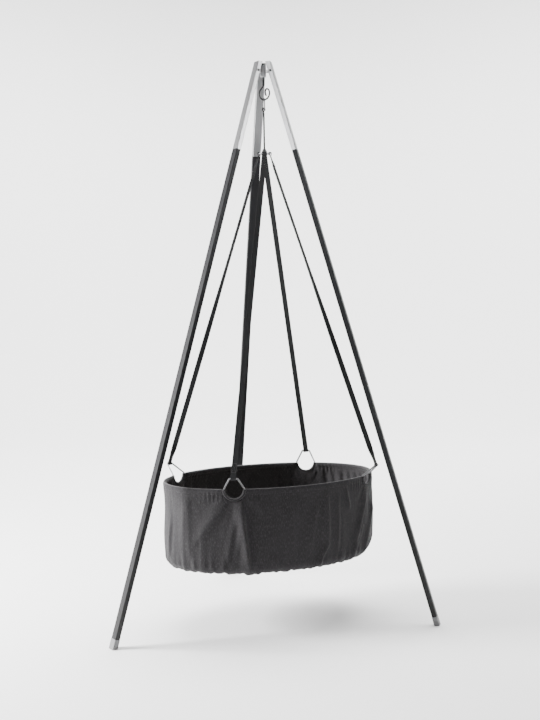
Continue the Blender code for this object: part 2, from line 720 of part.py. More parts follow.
def rim_speed(angle):
    """Metres along the rim for each radian of ellipse angle."""
    return math.hypot(RIM_HALF_LENGTH * math.sin(angle), RIM_HALF_WIDTH * math.cos(angle))


def rim_rods(frame):
    """Four curved rods that keep the rim oval, one between each pair of rings."""
    inset = TUB_WALL + ROD_CLEARANCE + ROD_RADIUS
    height = RIM_HEIGHT - ROD_DROP
    half_gap = RING_ARC + SLEEVE_RADIUS + ROD_END_CLEARANCE
    spans = {"right_end_rim_rod": ("right", "rear"), "rear_side_rim_rod": ("rear", "left"),
             "left_end_rim_rod": ("left", "front"), "front_side_rim_rod": ("front", "right")}
    for name, sides in spans.items():
        start, end = [math.radians(RING_ANGLES[side]) for side in sides]
        low = start + half_gap / rim_speed(start)
        high = end - half_gap / rim_speed(end)
        if high < low:
            low -= math.tau
        points = [rim_point(low + (high - low) * i / ROD_STEPS, inset, height)
                  for i in range(ROD_STEPS + 1)]
        wire(name, points, ROD_RADIUS, "inner_metal", frame)


def oval_slab(name, loops, finish, frame):
    """A solid oval from (inset, height) pairs, bottom to top."""
    builder = bmesh.new()
    skin(builder, [oval_loop(inset, height) for inset, height in loops])
    return add_mesh(name, finished(builder, name, 50), finish, frame)


def base_board(frame):
    """Stiff board on the tub's bottom."""
    low = TUB_BOTTOM + TUB_WALL + GAP
    return oval_slab("base_board", [(BOARD_INSET, low), (BOARD_INSET, low + BOARD_THICKNESS)],
                     "board", frame)


def mattress(frame):
    """Foam pad with rounded edges, lying on the board."""
    low = TUB_BOTTOM + TUB_WALL + BOARD_THICKNESS + GAP * 2
    high = low + MATTRESS_THICKNESS
    bottom_inset = BOARD_INSET - MATTRESS_EDGE
    loops = [(bottom_inset, low), (MATTRESS_INSET + MATTRESS_DRAFT, low + MATTRESS_EDGE),
             (MATTRESS_INSET, high - MATTRESS_EDGE),
             (MATTRESS_INSET + MATTRESS_BEVEL, high - MATTRESS_BEVEL),
             (MATTRESS_INSET + MATTRESS_EDGE, high)]
    return oval_slab("mattress", loops, "ticking", frame)


# ---- Assembly --------------------------------------------------------------------------------
def shifted_frame(name, height, parent_height, parent, turn=0.0):
    """An empty on the plumb line at a joint's height, with pieces kept in floor heights."""
    place = Matrix.Translation((0, 0, height - parent_height)) @ Matrix.Rotation(turn, 4, "Z")
    return add_empty(name, parent, place)


def drop_to_floor(joint_frame, height):
    """A frame under a joint's empty whose heights are measured from the floor again."""
    return add_empty(joint_frame.name + "_datum", joint_frame, Matrix.Translation((0, 0, -height)))


def centre_on_floor(assembly):
    """Moves the assembly so that the middle of its box, at floor level, is the origin."""
    bpy.context.view_layer.update()
    corners = [piece.matrix_world @ vertex.co for piece in bpy.data.objects
               if piece.type == "MESH" for vertex in piece.data.vertices]
    middle = [(min(c[axis] for c in corners) + max(c[axis] for c in corners)) / 2
              for axis in (0, 1)]
    assembly.location = (-middle[0], -middle[1], 0)
    bpy.context.view_layer.update()


def build():
    """The whole bassinet, joint by joint from the apex down."""
    for old in list(bpy.data.objects):
        bpy.data.objects.remove(old)
    assembly = add_empty("assembly")
    apex_bracket(assembly)
    for side, azimuth in LEG_AZIMUTHS.items():
        build_leg(side, azimuth, assembly)

    swivel = shifted_frame("hook_swivel", HOOK_SEAT, 0.0, assembly, CRADLE_TURN)
    build_hook(drop_to_floor(swivel, HOOK_SEAT))
    link_swing = shifted_frame("link_swing", HOOK_SEAT, HOOK_SEAT, swivel)
    oval_link(drop_to_floor(link_swing, HOOK_SEAT))
    cradle_swing = shifted_frame("cradle_swing", LINK_BOTTOM, HOOK_SEAT, link_swing)
    cradle = drop_to_floor(cradle_swing, LINK_BOTTOM)
    suspension_cord(cradle)
    hub_disc(cradle)
    hub_cone(cradle)
    for side in RING_ANGLES:
        strap(side, cradle)
        rim_ring(side, cradle)
        ring_sleeve(side, cradle)
    rim_rods(cradle)
    cradle_fabric(cradle)
    base_board(cradle)
    mattress(cradle)
    centre_on_floor(assembly)


build()
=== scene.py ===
"""Looks of the hanging bassinet: cloth tub, webbing, mattress, metal finishes, studio and camera."""
import json
import math

import bmesh
import bpy
import numpy as np
from mathutils import Matrix, Vector


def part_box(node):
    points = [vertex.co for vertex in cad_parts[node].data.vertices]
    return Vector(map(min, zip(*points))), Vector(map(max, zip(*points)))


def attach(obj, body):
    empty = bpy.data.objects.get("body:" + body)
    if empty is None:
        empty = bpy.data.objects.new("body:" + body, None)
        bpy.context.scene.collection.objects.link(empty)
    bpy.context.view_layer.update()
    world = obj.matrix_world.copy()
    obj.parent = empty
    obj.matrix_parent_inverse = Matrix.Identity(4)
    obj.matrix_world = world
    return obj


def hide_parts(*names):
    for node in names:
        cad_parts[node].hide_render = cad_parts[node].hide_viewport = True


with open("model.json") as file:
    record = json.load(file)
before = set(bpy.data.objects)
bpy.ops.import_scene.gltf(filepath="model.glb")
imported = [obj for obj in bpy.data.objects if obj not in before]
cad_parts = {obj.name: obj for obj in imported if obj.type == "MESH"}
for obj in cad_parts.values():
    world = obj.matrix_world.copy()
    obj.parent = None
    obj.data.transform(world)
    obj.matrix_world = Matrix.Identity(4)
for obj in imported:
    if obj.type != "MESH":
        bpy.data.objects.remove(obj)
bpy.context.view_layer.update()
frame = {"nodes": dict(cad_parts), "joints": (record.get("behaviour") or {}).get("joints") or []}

NODES = frame["nodes"]
JOINTS = {joint["name"]: joint for joint in frame["joints"]}
UP = Vector((0, 0, 1))
LEGS = ("left", "right", "rear")

# ---- Sizes read from the frame ----
PLUMB = Vector((*JOINTS["hook_swivel"]["pos_m"][:2], 0.0))
LONG_AXIS = JOINTS["crosswise_sway"]["axis"]
CRADLE_TURN = math.atan2(LONG_AXIS[1], LONG_AXIS[0])
CRADLE = Matrix.Translation(PLUMB) @ Matrix.Rotation(CRADLE_TURN, 4, "Z")


def tub_sizes():
    """Half length, half width, rim height and bottom height of the tub, from its box."""
    low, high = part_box("cradle_fabric")
    half_x = (high[0] - low[0]) / 2
    half_y = (high[1] - low[1]) / 2
    along = math.cos(CRADLE_TURN) ** 2
    across = math.sin(CRADLE_TURN) ** 2
    length = math.sqrt((half_x ** 2 * along - half_y ** 2 * across) / (along - across))
    width = math.sqrt((half_y ** 2 * along - half_x ** 2 * across) / (along - across))
    return length, width, high[2], low[2]


HALF_LENGTH, HALF_WIDTH, RIM, BOTTOM = tub_sizes()
WALL = RIM - BOTTOM
TAPER = 0.985

# ---- Tub cloth ----
RING_ANGLES = {"rear": math.radians(50), "left": math.radians(135),
               "front": math.radians(233.5), "right": math.radians(319)}
RING_ARC = 0.032  # radius of the lower arc, to the middle of the wire
RING_WIRE = 0.00275  # radius of the wire
RING_SIDE = 0.048  # from the arc's centre to the bar at the ring's top
RING_LEANS = {"rear": math.radians(40), "left": math.radians(48), "front": math.radians(40),
              "right": math.radians(48)}
NOTCH = 0.0352  # radius of the cutout in the cloth
WALL_MIDDLE = 0.002  # from the tub's outline in to the rings' plane
COLUMN_STEP = 0.004  # between columns of the mesh, away from the cutouts
NOTCH_COLUMNS = 18
CLOTH = 0.0022  # thickness of the doubled cloth
EDGE_RADIUS = 0.026  # of the bottom edge
WALL_ROWS = 46
WALL_ROW_POWER = 1.15  # crowds the rows a little towards the bottom edge
EDGE_ROWS = 8
BASE_ROWS = 12
TABLE_STEPS = 4096  # of the table that turns rim lengths into angles

# ---- Camera ----
# Distances in metres, angles in radians, sensor and lens in millimetres.
CAMERA_DISTANCE = 3.527
CAMERA_HEIGHT = 1.02
CAMERA_PITCH = 0.0172
CAMERA_ROLL = -0.0161
SENSOR_WIDTH = 36.0
LENS = 71.59
SHIFT = (0.0052, -0.0672)


# ---- Node helpers ----
class Surface:
    """A Principled material under construction."""

    def __init__(self, name, colour, roughness, metallic=0.0, **constants):
        self.material = bpy.data.materials.new(name)
        self.material.use_nodes = True
        self.tree = self.material.node_tree
        self.shader = self.tree.nodes["Principled BSDF"]
        self.shader.inputs["Base Color"].default_value = (*colour, 1)
        self.shader.inputs["Roughness"].default_value = roughness
        self.shader.inputs["Metallic"].default_value = metallic
        for socket, value in constants.items():
            self.shader.inputs[socket.replace("_", " ")].default_value = value
        self.height = None

    def node(self, kind, **values):
        """A node with its properties and input values set by name."""
        made = self.tree.nodes.new(kind)
        for key, value in values.items():
            if hasattr(made, key):
                setattr(made, key, value)
            else:
                made.inputs[key.replace("_", " ")].default_value = value
        return made

    def link(self, output, target):
        self.tree.links.new(output, target)

    def feed(self, value, target):
        """Links a node's output to a socket, or sets the socket to a number or a colour."""
        if isinstance(value, (int, float)):
            target.default_value = value
        elif isinstance(value, tuple):
            target.default_value = (*value, 1)
        else:
            self.link(value, target)

    def place(self, source="Object", scale=(1, 1, 1), turn=(0, 0, 0), vector=None):
        """Texture coordinates, or a vector, scaled and turned."""
        mapping = self.node("ShaderNodeMapping")
        mapping.inputs["Scale"].default_value = scale
        mapping.inputs["Rotation"].default_value = turn
        if not vector:
            vector = self.node("ShaderNodeTexCoord").outputs[source]
        self.link(vector, mapping.inputs["Vector"])
        return mapping.outputs["Vector"]

    def noise(self, scale, detail=4.0, roughness=0.55, where=None):
        made = self.node("ShaderNodeTexNoise", Scale=scale, Detail=detail, Roughness=roughness)
        self.link(where or self.place(), made.inputs["Vector"])
        return made.outputs["Fac"]

    def wave(self, scale, direction, where, distortion=0.0):
        made = self.node("ShaderNodeTexWave", bands_direction=direction, Scale=scale,
                         Distortion=distortion)
        self.link(where, made.inputs["Vector"])
        return made.outputs["Fac"]

    def spread(self, factor, low, high, start=0.0, end=1.0):
        """Maps a factor from start..end to low..high."""
        made = self.node("ShaderNodeMapRange")
        for socket, value in (("From Min", start), ("From Max", end), ("To Min", low),
                              ("To Max", high)):
            made.inputs[socket].default_value = value
        self.link(factor, made.inputs["Value"])
        return made.outputs["Result"]

    def height_factor(self, low, high, start, end):
        """Maps the height above the floor from start..end to low..high."""
        parts = self.node("ShaderNodeSeparateXYZ")
        self.link(self.place(), parts.inputs["Vector"])
        return self.spread(parts.outputs["Z"], low, high, start, end)

    def maths(self, operation, first, second):
        made = self.node("ShaderNodeMath", operation=operation)
        for socket, value in zip(made.inputs, (first, second)):
            self.feed(value, socket)
        return made.outputs["Value"]

    def mix(self, factor, first, second):
        """A colour between two, each a tuple or a node's output."""
        made = self.node("ShaderNodeMix", data_type="RGBA")
        self.link(factor, made.inputs["Factor"])
        for socket, value in (("A", first), ("B", second)):
            target = [i for i in made.inputs if i.name == socket and i.type == "RGBA"][0]
            self.feed(value, target)
        return [o for o in made.outputs if o.type == "RGBA"][0]

    def paint(self, colour):
        self.link(colour, self.shader.inputs["Base Color"])

    def rough(self, factor):
        self.link(factor, self.shader.inputs["Roughness"])

    def bump(self, height, distance, strength=1.0):
        """Adds a bump on top of those already there."""
        made = self.node("ShaderNodeBump", Distance=distance, Strength=strength)
        self.link(height, made.inputs["Height"])
        if self.height:
            self.link(self.height, made.inputs["Normal"])
        self.height = made.outputs["Normal"]
        self.link(self.height, self.shader.inputs["Normal"])


def shade(colour, factor):
    """A colour made lighter or darker."""
    return tuple(min(1.0, channel * factor) for channel in colour)


# ---- Materials ----
# Colours are linear. Scales of noise and of its texture space are grains per metre. A bump has a
# height in metres and a strength.


def cloth_finish():
    """Dark charcoal plain weave with slubs, faded high spots and a soft nap."""
    colour = (0.0170, 0.0157, 0.0172)
    made = Surface("charcoal_cloth", colour, 0.88, Sheen_Weight=0.08, Sheen_Roughness=0.5,
                   Specular_IOR_Level=0.25)
    flat = made.place("UV")
    warp, weft = (made.wave(260, way, flat, distortion=0.6) for way in "XY")
    weave = made.maths("MULTIPLY", warp, weft)
    slubs = made.noise(1.0, 5, 0.6, made.place("UV", (420, 110, 1)))
    fade = made.noise(9, 3)
    thread = made.mix(made.spread(weave, 0.1, 1.0), shade(colour, 0.68), shade(colour, 1.15))
    slubbed = made.mix(made.spread(slubs, 0, 0.65, 0.48, 0.7), thread, shade(colour, 2.7))
    made.paint(made.mix(made.spread(fade, 0, 0.25, 0.4, 0.7), slubbed, shade(colour, 1.5)))
    made.rough(made.spread(slubs, 0.82, 0.94))
    made.bump(weave, 0.0004, 0.45)
    made.bump(made.noise(60, 4), 0.0016, 0.3)
    made.bump(made.noise(1.0, 3, 0.6, made.place("UV", (70, 14, 1))), 0.003, 0.5)
    return made.material


def trim_finish():
    """Slightly lighter cloth of the rim edge and piping."""
    colour = (0.05, 0.048, 0.052)
    made = Surface("cloth_edge", colour, 0.82, Sheen_Weight=0.15, Sheen_Roughness=0.4)
    twill = made.wave(300, "DIAGONAL", made.place("UV"))
    made.paint(made.mix(twill, shade(colour, 0.7), shade(colour, 1.3)))
    made.rough(made.spread(made.noise(300), 0.75, 0.9))
    made.bump(twill, 0.0003, 0.6)
    return made.material


def webbing_finish():
    """Black woven webbing with a herringbone of two diagonals and a ribbed edge."""
    colour = (0.005, 0.005, 0.0056)
    made = Surface("black_webbing", colour, 0.8, Sheen_Weight=0.04, Sheen_Roughness=0.4,
                   Specular_IOR_Level=0.25)
    ribs = made.wave(230, "Y", made.place("UV"), distortion=0.3)
    diagonal = made.wave(190, "DIAGONAL", made.place("UV", (1, 1.6, 1)), distortion=0.3)
    weave = made.maths("MAXIMUM", ribs, diagonal)
    made.paint(made.mix(weave, shade(colour, 0.55), shade(colour, 1.9)))
    worn = made.noise(40, 5)
    made.rough(made.spread(worn, 0.68, 0.88))
    made.bump(weave, 0.0005, 0.7)
    return made.material


def ticking_finish():
    """Natural off-white cotton cover with a fine weave and woven stripes."""
    colour = (0.74, 0.71, 0.65)
    made = Surface("cotton_ticking", colour, 0.9, Sheen_Weight=0.2, Sheen_Roughness=0.5)
    place = made.place()
    fine = made.noise(520, 3, 0.6, place)
    stripes = made.wave(26, "X", made.place("Object", turn=(0, 0, -CRADLE_TURN)))
    base = made.mix(made.spread(fine, 0, 1, 0.3, 0.7), shade(colour, 0.88), shade(colour, 1.06))
    made.paint(made.mix(made.spread(stripes, 0, 0.5, 0.86, 0.94), base, (0.52, 0.49, 0.44)))
    made.rough(made.spread(fine, 0.84, 0.95))
    made.bump(fine, 0.0005, 0.4)
    made.bump(made.noise(45, 3), 0.002, 0.3)
    return made.material


def leg_place(made, side, scale):
    """Texture space turned so that its Z runs along a leg."""
    axis = Vector(JOINTS[side + "_leg_fold"]["axis"])
    low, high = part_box(side + "_foot_cap")
    foot = (Vector(low) + Vector(high)) / 2
    along = (Vector(JOINTS[side + "_leg_fold"]["pos_m"]) - foot).normalized()
    turn = Matrix((axis.cross(along), axis, along)).to_euler()
    return made.place(scale=scale, vector=made.place(turn=turn))


def silver_finish(side):
    """Satin silver leg with drawn lines along it and faint handling marks."""
    colour = (0.29, 0.29, 0.296)
    made = Surface(side + "_satin_silver", colour, 0.34, 0.97)
    lines = made.noise(1, 4, 0.7, leg_place(made, side, (1400, 1400, 9)))
    marks = made.noise(55, 6, 0.7)
    made.paint(made.mix(made.spread(marks, 0, 0.5, 0.35, 0.75), colour, shade(colour, 0.86)))
    made.rough(made.maths("ADD", made.spread(lines, 0.27, 0.42), made.spread(marks, 0, 0.08)))
    made.bump(lines, 0.00012, 0.35)
    return made.material


def powder_finish(side):
    """Satin black coat with a fine orange peel, lighter rubs and dust low down."""
    colour = (0.0095, 0.0095, 0.0105)
    made = Surface(side + "_satin_black", colour, 0.5, Coat_Weight=0.03, Coat_Roughness=0.4,
                   Specular_IOR_Level=0.11)
    peel = made.noise(750, 2)
    rubs = made.noise(1, 5, 0.65, leg_place(made, side, (60, 60, 5)))
    dust = made.height_factor(0.45, 0.0, 0.02, 0.5)
    worn = made.mix(made.spread(rubs, 0, 0.5, 0.55, 0.8), colour, shade(colour, 1.9))
    made.paint(made.mix(made.maths("MULTIPLY", dust, rubs), worn, (0.09, 0.088, 0.085)))
    made.rough(made.spread(rubs, 0.44, 0.6))
    made.bump(peel, 0.0002, 0.3)
    return made.material


def foot_finish():
    """Moulded silver-grey plastic with scuffs near the floor."""
    colour = (0.17, 0.17, 0.175)
    made = Surface("foot_plastic", colour, 0.5, Specular_IOR_Level=0.4)
    scuffs = made.noise(1, 6, 0.7, made.place("Object", (220, 220, 60)))
    low = made.height_factor(1.0, 0.0, 0.0, 0.018)
    worn = made.maths("MULTIPLY", low, made.spread(scuffs, 0, 1, 0.4, 0.7))
    made.paint(made.mix(worn, colour, (0.16, 0.155, 0.15)))
    made.rough(made.spread(scuffs, 0.42, 0.62))
    made.bump(made.noise(900, 2), 0.0002, 0.4)
    made.bump(scuffs, 0.0003, 0.25)
    return made.material


# Short name, name, colour, roughness, and where it isn't plain metal its metallic and specular.
PLATINGS = (("dark_steel", "blackened_steel", (0.008, 0.008, 0.009), 0.45, 0.0, 0.3),
            # Oval link: a darker copy of the rings' plating, its colour, metallic and specular
            # lowered as painted dark reflection of dark surroundings.
            ("link_steel", "link_plating", (0.035, 0.035, 0.037), 0.4, 0.5, 0.35),
            # Rings and hub disc: plating whose colour is darkened as painted dark reflection of dark
            # surroundings, holding down the highlight along the wires.
            ("bright_steel", "bright_plating", (0.13, 0.13, 0.134), 0.4),
            ("plain_steel", "plain_steel", (0.5, 0.5, 0.51), 0.35))


def plated_finish(name, colour, roughness, metallic=1.0, specular=0.5):
    """Metal with fine scratches and cloudy roughness."""
    made = Surface(name, colour, roughness, metallic, Specular_IOR_Level=specular)
    scratches = made.noise(1, 6, 0.75, made.place("Object", (1500, 300, 300)))
    clouds = made.noise(120, 4)
    made.paint(made.mix(made.spread(clouds, 0, 0.6, 0.4, 0.7), colour, shade(colour, 0.75)))
    made.rough(made.maths("ADD", made.spread(scratches, roughness * 0.7, roughness * 1.15),
                          made.spread(clouds, 0, 0.08)))
    made.bump(scratches, 0.0001, 0.3)
    return made.material


def grained_finish(name, colour, roughness, grain, shades, bump, metallic=0.0, stretch=None,
                   satin=None, **constants):
    """A plain colour with one fine grain: its noise, darkest and lightest shade, and bump."""
    made = Surface(name, colour, roughness, metallic, **constants)
    fine = made.noise(*grain, where=made.place("Object", stretch) if stretch else None)
    dark, light = shades
    made.paint(made.mix(fine, shade(colour, dark), shade(colour, light)))
    if satin:
        made.rough(made.spread(fine, *satin))
    made.bump(fine, *bump)
    return made.material


def grained_finishes():
    """Cast grey, moulded black, cord and thread, by short name."""
    return {
        "cast": grained_finish("cast_grey", (0.36, 0.36, 0.368), 0.5, (480, 5, 0.65), (0.7, 1.3),
                               (0.0004, 0.6), metallic=0.7, satin=(0.42, 0.62)),
        "moulded": grained_finish("moulded_black", (0.02, 0.02, 0.021), 0.45, (700, 3),
                                  (0.8, 1.4), (0.0002, 0.4), satin=(0.38, 0.55)),
        "cord": grained_finish("braided_cord", (0.005, 0.005, 0.0055), 0.85, (1, 2, 0.5),
                               (0.6, 1.8), (0.0005, 0.6), stretch=(500, 500, 240),
                               Specular_IOR_Level=0.2),
        "thread": grained_finish("sewing_thread", (0.034, 0.032, 0.034), 0.6, (900, 2),
                                 (0.6, 1.4), (0.0002, 0.5), Sheen_Weight=0.2)}


def board_finish():
    """Birch plywood."""
    colour = (0.55, 0.40, 0.25)
    made = Surface("birch_board", colour, 0.6)
    grain = made.wave(9, "X", made.place("Object", (1, 6, 1), (0, 0, -CRADLE_TURN)),
                      distortion=6.0)
    made.paint(made.mix(grain, shade(colour, 0.8), shade(colour, 1.15)))
    made.rough(made.spread(made.noise(200), 0.5, 0.7))
    made.bump(grain, 0.0003, 0.4)
    return made.material


def floor_finish():
    """Pale seamless studio floor."""
    colour = (0.93, 0.93, 0.928)
    made = Surface("studio_floor", colour, 0.9)
    soft = made.noise(2.2, 3)
    made.paint(made.mix(soft, shade(colour, 0.99), shade(colour, 1.01)))
    return made.material


# ---- Mesh helpers ----
def coat(mesh, finish):
    """Gives a mesh a single finish."""
    mesh.materials.clear()
    mesh.materials.append(finish)


def cradle_piece(name, mesh, finish):
    """A finished piece that rides on the cradle."""
    piece = bpy.data.objects.new(name, mesh)
    bpy.context.collection.objects.link(piece)
    coat(mesh, finish)
    mesh.shade_smooth()
    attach(piece, "cradle")
    return piece


def capped_mesh(name, points, unrolled, travelled):
    """A closed mesh through rings of points, with flat coordinates in metres.

    Each row of points is one ring. unrolled gives the flat distance of every column and of the
    seam where the ring closes, and travelled gives it for every row.
    """
    rows, columns, _ = points.shape
    mesh = bpy.data.meshes.new(name)
    faces = []
    flat = []
    for r in range(rows - 1):
        for c in range(columns):
            c2 = (c + 1) % columns
            faces.append((r * columns + c, r * columns + c2, (r + 1) * columns + c2,
                          (r + 1) * columns + c))
            for row, column in ((r, c), (r, c + 1), (r + 1, c + 1), (r + 1, c)):
                flat.append((unrolled[column], travelled[row]))
    mesh.from_pydata(points.reshape(-1, 3).tolist(), [], faces)
    mesh.uv_layers.new(name="flat").data.foreach_set("uv", np.array(flat).ravel())
    builder = bmesh.new()
    builder.from_mesh(mesh)
    builder.verts.ensure_lookup_table()
    last = (rows - 1) * columns
    builder.faces.new([builder.verts[i] for i in range(columns)][::-1])
    builder.faces.new([builder.verts[last + i] for i in range(columns)])
    bmesh.ops.recalc_face_normals(builder, faces=builder.faces)
    builder.to_mesh(mesh)
    builder.free()
    return mesh


ASKEW = (0.31, 0.22, 0.92)  # a direction that no path starts along


def tube_points(path, radius, sides, widths=None):
    """Rings of points round a path; widths gives an optional radius factor for each point."""
    path = np.asarray(path, float)
    ahead = np.gradient(path, axis=0)
    ahead /= np.linalg.norm(ahead, axis=1)[:, None]
    side = np.cross(ahead[0], ASKEW)
    side /= np.linalg.norm(side)
    rings = []
    for i, (point, forward) in enumerate(zip(path, ahead)):
        side = side - forward * side.dot(forward)
        side /= np.linalg.norm(side)
        other = np.cross(forward, side)
        size = radius * (widths[i] if widths is not None else 1.0)
        turns = math.tau * np.arange(sides) / sides
        rings.append(point + size * (np.outer(np.cos(turns), side)
                                     + np.outer(np.sin(turns), other)))
    return np.array(rings)


def add_rings(builder, rings):
    """A closed solid in a bmesh through rings of points, with a face over each end."""
    rows = [[builder.verts.new(point) for point in ring] for ring in rings]
    for lower, upper in zip(rows, rows[1:]):
        for i in range(len(lower)):
            j = (i + 1) % len(lower)
            builder.faces.new((lower[i], lower[j], upper[j], upper[i]))
    builder.faces.new(rows[0][::-1])
    builder.faces.new(rows[-1])


def closed_mesh(name, builder):
    """A mesh from a bmesh, with outward faces."""
    bmesh.ops.recalc_face_normals(builder, faces=builder.faces)
    mesh = bpy.data.meshes.new(name)
    builder.to_mesh(mesh)
    builder.free()
    return mesh


def tube_piece(name, paths, radius, finish, sides=6, widths=None):
    """A piece made of capped tubes, one along each path."""
    builder = bmesh.new()
    for path in paths:
        add_rings(builder, tube_points(path, radius, sides, widths))
    return cradle_piece(name, closed_mesh(name, builder), finish)


def in_row_frame(points):
    """Cradle coordinates to the row frame."""
    turn = np.array(CRADLE.to_3x3())
    return np.asarray(points) @ turn.T + np.array(CRADLE.translation)


# ---- Tub outline ----
TABLE_ANGLES = np.linspace(0, math.tau, TABLE_STEPS + 1)
TABLE_POINTS = np.stack([HALF_LENGTH * np.cos(TABLE_ANGLES),
                         HALF_WIDTH * np.sin(TABLE_ANGLES)], axis=1)
TABLE_LENGTHS = np.concatenate([[0], np.cumsum(np.linalg.norm(np.diff(TABLE_POINTS, axis=0),
                                                              axis=1))])
PERIMETER = float(TABLE_LENGTHS[-1])
RING_STATIONS = {side: float(np.interp(angle % math.tau, TABLE_ANGLES, TABLE_LENGTHS))
                 for side, angle in RING_ANGLES.items()}


def around(value):
    """A distance along the rim brought to within half the perimeter of zero."""
    return (value + PERIMETER / 2) % PERIMETER - PERIMETER / 2


def column_stations():
    """Distances along the rim of the mesh's columns, closer together at the cutouts."""
    order = sorted(RING_STATIONS.values())
    stations = []
    for ring, following in zip(order, order[1:] + [order[0] + PERIMETER]):
        turns = np.linspace(math.pi, 0, NOTCH_COLUMNS + 1)
        stations.extend(ring + NOTCH * np.cos(turns))
        start = ring + NOTCH
        end = following - NOTCH
        count = round((end - start) / COLUMN_STEP)
        stations.extend(np.linspace(start, end, count + 1)[1:-1])
    return np.array(stations)


def cutout_depth(stations):
    """How far the cloth's top edge drops below the rim at each station."""
    depth = np.zeros_like(stations)
    for ring in RING_STATIONS.values():
        offset = around(stations - ring)
        depth = np.maximum(depth, np.sqrt(np.maximum(NOTCH ** 2 - offset ** 2, 0)))
    return depth


def step(start, end, value):
    """Smooth step from 0 to 1."""
    t = np.clip((value - start) / (end - start), 0, 1)
    return t * t * (3 - 2 * t)


def bell(value, middle, spread):
    """1 at the middle, falling smoothly to 0 a few spreads away."""
    return np.exp(-((value - middle) / spread) ** 2)


def outline_points(stations, depth, outwards):
    """Points of the tub's wall at distances along the rim and depths below it."""
    angles = np.interp(stations % PERIMETER, TABLE_LENGTHS, TABLE_ANGLES)
    scale = 1 - (1 - TAPER) * depth / WALL
    a = HALF_LENGTH * scale
    b = HALF_WIDTH * scale
    normal_x = np.cos(angles) / a
    normal_y = np.sin(angles) / b
    size = np.hypot(normal_x, normal_y)
    x = a * np.cos(angles) + normal_x / size * outwards
    y = b * np.sin(angles) + normal_y / size * outwards
    return np.stack([x, y, RIM - depth + np.zeros_like(x)], axis=-1)


# ---- Folds ----
FOLD_COUNT = 34
FOLD_SEED = 11
# Ranges of a hanging fold: place and lean along the rim, width, height, share where it starts.
FOLD_SHIFTS = (-0.35, 0.35)
FOLD_LEANS = (-0.14, 0.14)
FOLD_WIDTHS = (0.010, 0.024)
FOLD_HEIGHTS = (-0.0018, 0.0034)
FOLD_STARTS = (0.0, 0.35)
FOLD_GROWTH = 0.45  # share of the wall over which a fold reaches its full height
BROAD_FLANK = 1.5  # of a crease, as a share of its width
STEEP_FLANK = 0.62
# Creases that fan out under a ring: degrees from straight down, height, reach.
FAN = ((-62, 0.0016, 0.10), (-47, 0.0026, 0.15), (-30, 0.0022, 0.13), (-14, 0.0022, 0.20),
       (6, 0.0020, 0.16), (34, 0.0018, 0.14), (52, 0.0018, 0.12))
FAN_SHARE = {"front": 1.0, "rear": 0.9, "left": 1.0, "right": 1.0}
FAN_MIRROR = {"front": 1, "rear": -1, "left": -1, "right": -1}
# Single folds by the ring they are measured from. In millimetres: along the rim and depth where
# a fold starts, the same where it ends, its width and its height.
FOLDS = {
    "front": (
        (19, 34, 44, 262, 12, 19.5), (-24, 30, -104, 160, 14, 6.2),
        (-50, 62, -140, 185, 12, 4.2), (4, 75, -26, 232, 9, 5), (18, 130, 2, 215, 7, 4.2),
        (-156, 4, -150, 230, 17, 4), (-236, 100, -246, 250, 8, 3.6),
        (110, 30, 126, 190, 10, 3), (176, 20, 182, 230, 15, 4.6),
        (262, 60, 238, 215, 16, 4.4), (306, 20, 309, 190, 12, 5.2),
        (352, 40, 350, 220, 9, 3.8), (386, 14, 405, 95, 8, 4.6), (512, 25, 430, 210, 12, 10),
        (566, 70, 498, 240, 11, 9), (480, 160, 416, 255, 9, 7), (314, 185, 266, 255, 9, 5),
        (118, 200, 140, 264, 7, 4), (64, 18, 90, 75, 7, 3.2)),
    "rear": (
        (440, 8, 428, 110, 12, 7), (476, 8, 480, 80, 9, 5.5), (372, 10, 366, 120, 11, 4.8),
        (300, 6, 304, 120, 9, 3.6), (210, 8, 206, 110, 10, 4), (96, 6, 92, 120, 13, 7),
        (52, 10, 50, 110, 8, 4.4), (-64, 6, -80, 110, 11, 5.6), (-98, 8, -104, 100, 8, 4.6),
        (-132, 6, -140, 110, 9, 5.6), (-162, 10, -166, 90, 7, 4.6),
        (-190, 6, -200, 100, 9, 5.4), (-220, 8, -224, 80, 7, 4.6),
        (-250, 6, -262, 100, 9, 5)),
}
MILLIMETRE = 0.001
FOLD_RISE = (-0.12, 0.30)  # shares of a single fold's line over which it rises and falls
FOLD_FALL = (0.72, 1.15)
SLACK_RADIUS = 0.026  # added to the bottom edge's radius where the cloth hangs slack
SLACK_STATION = -0.045  # along the rim from the right end of the tub
SLACK_REACH = 0.13
WAIST = 0.008  # how far the left end pulls in below the rim
WAIST_REACH = 0.09
WAIST_SHARE = 0.36  # height of the waist, as a share of the wall from the rim down
WAIST_SPREAD = 0.26
BELLY = 0.0035  # how far the wall bulges halfway down
BELLY_POWER = 1.2
HEM_HOLD = (0.006, 0.05)  # depths over which the hem lets go of the folds
REST_INSET = 0.0012  # the folds stand out from a wall set in by this much
LOW_POINT = 0.047  # where the strongest crease meets the bottom edge
LOW_DIP = 0.006
LOW_WIDTH = 0.016
FAN_WIDTH = 0.0035  # of a fan's crease where it starts
FAN_GROWTH = 0.055  # of that width for each metre from the ring
FAN_START = (NOTCH - 0.002, NOTCH + 0.022)
FAN_FADE = 0.45  # share of a crease's reach from which it fades
PUCKER = 0.0021  # height of the puckers along the hem beside a ring
PUCKER_PITCH = 0.0135
PUCKER_PHASE = 1.3
PUCKER_PLACE = (0.072, 0.032)  # along the rim from the ring, and spread
PUCKER_DEPTH = (0.024, 0.015)  # below the rim, and spread
GATHER_SEED = 5
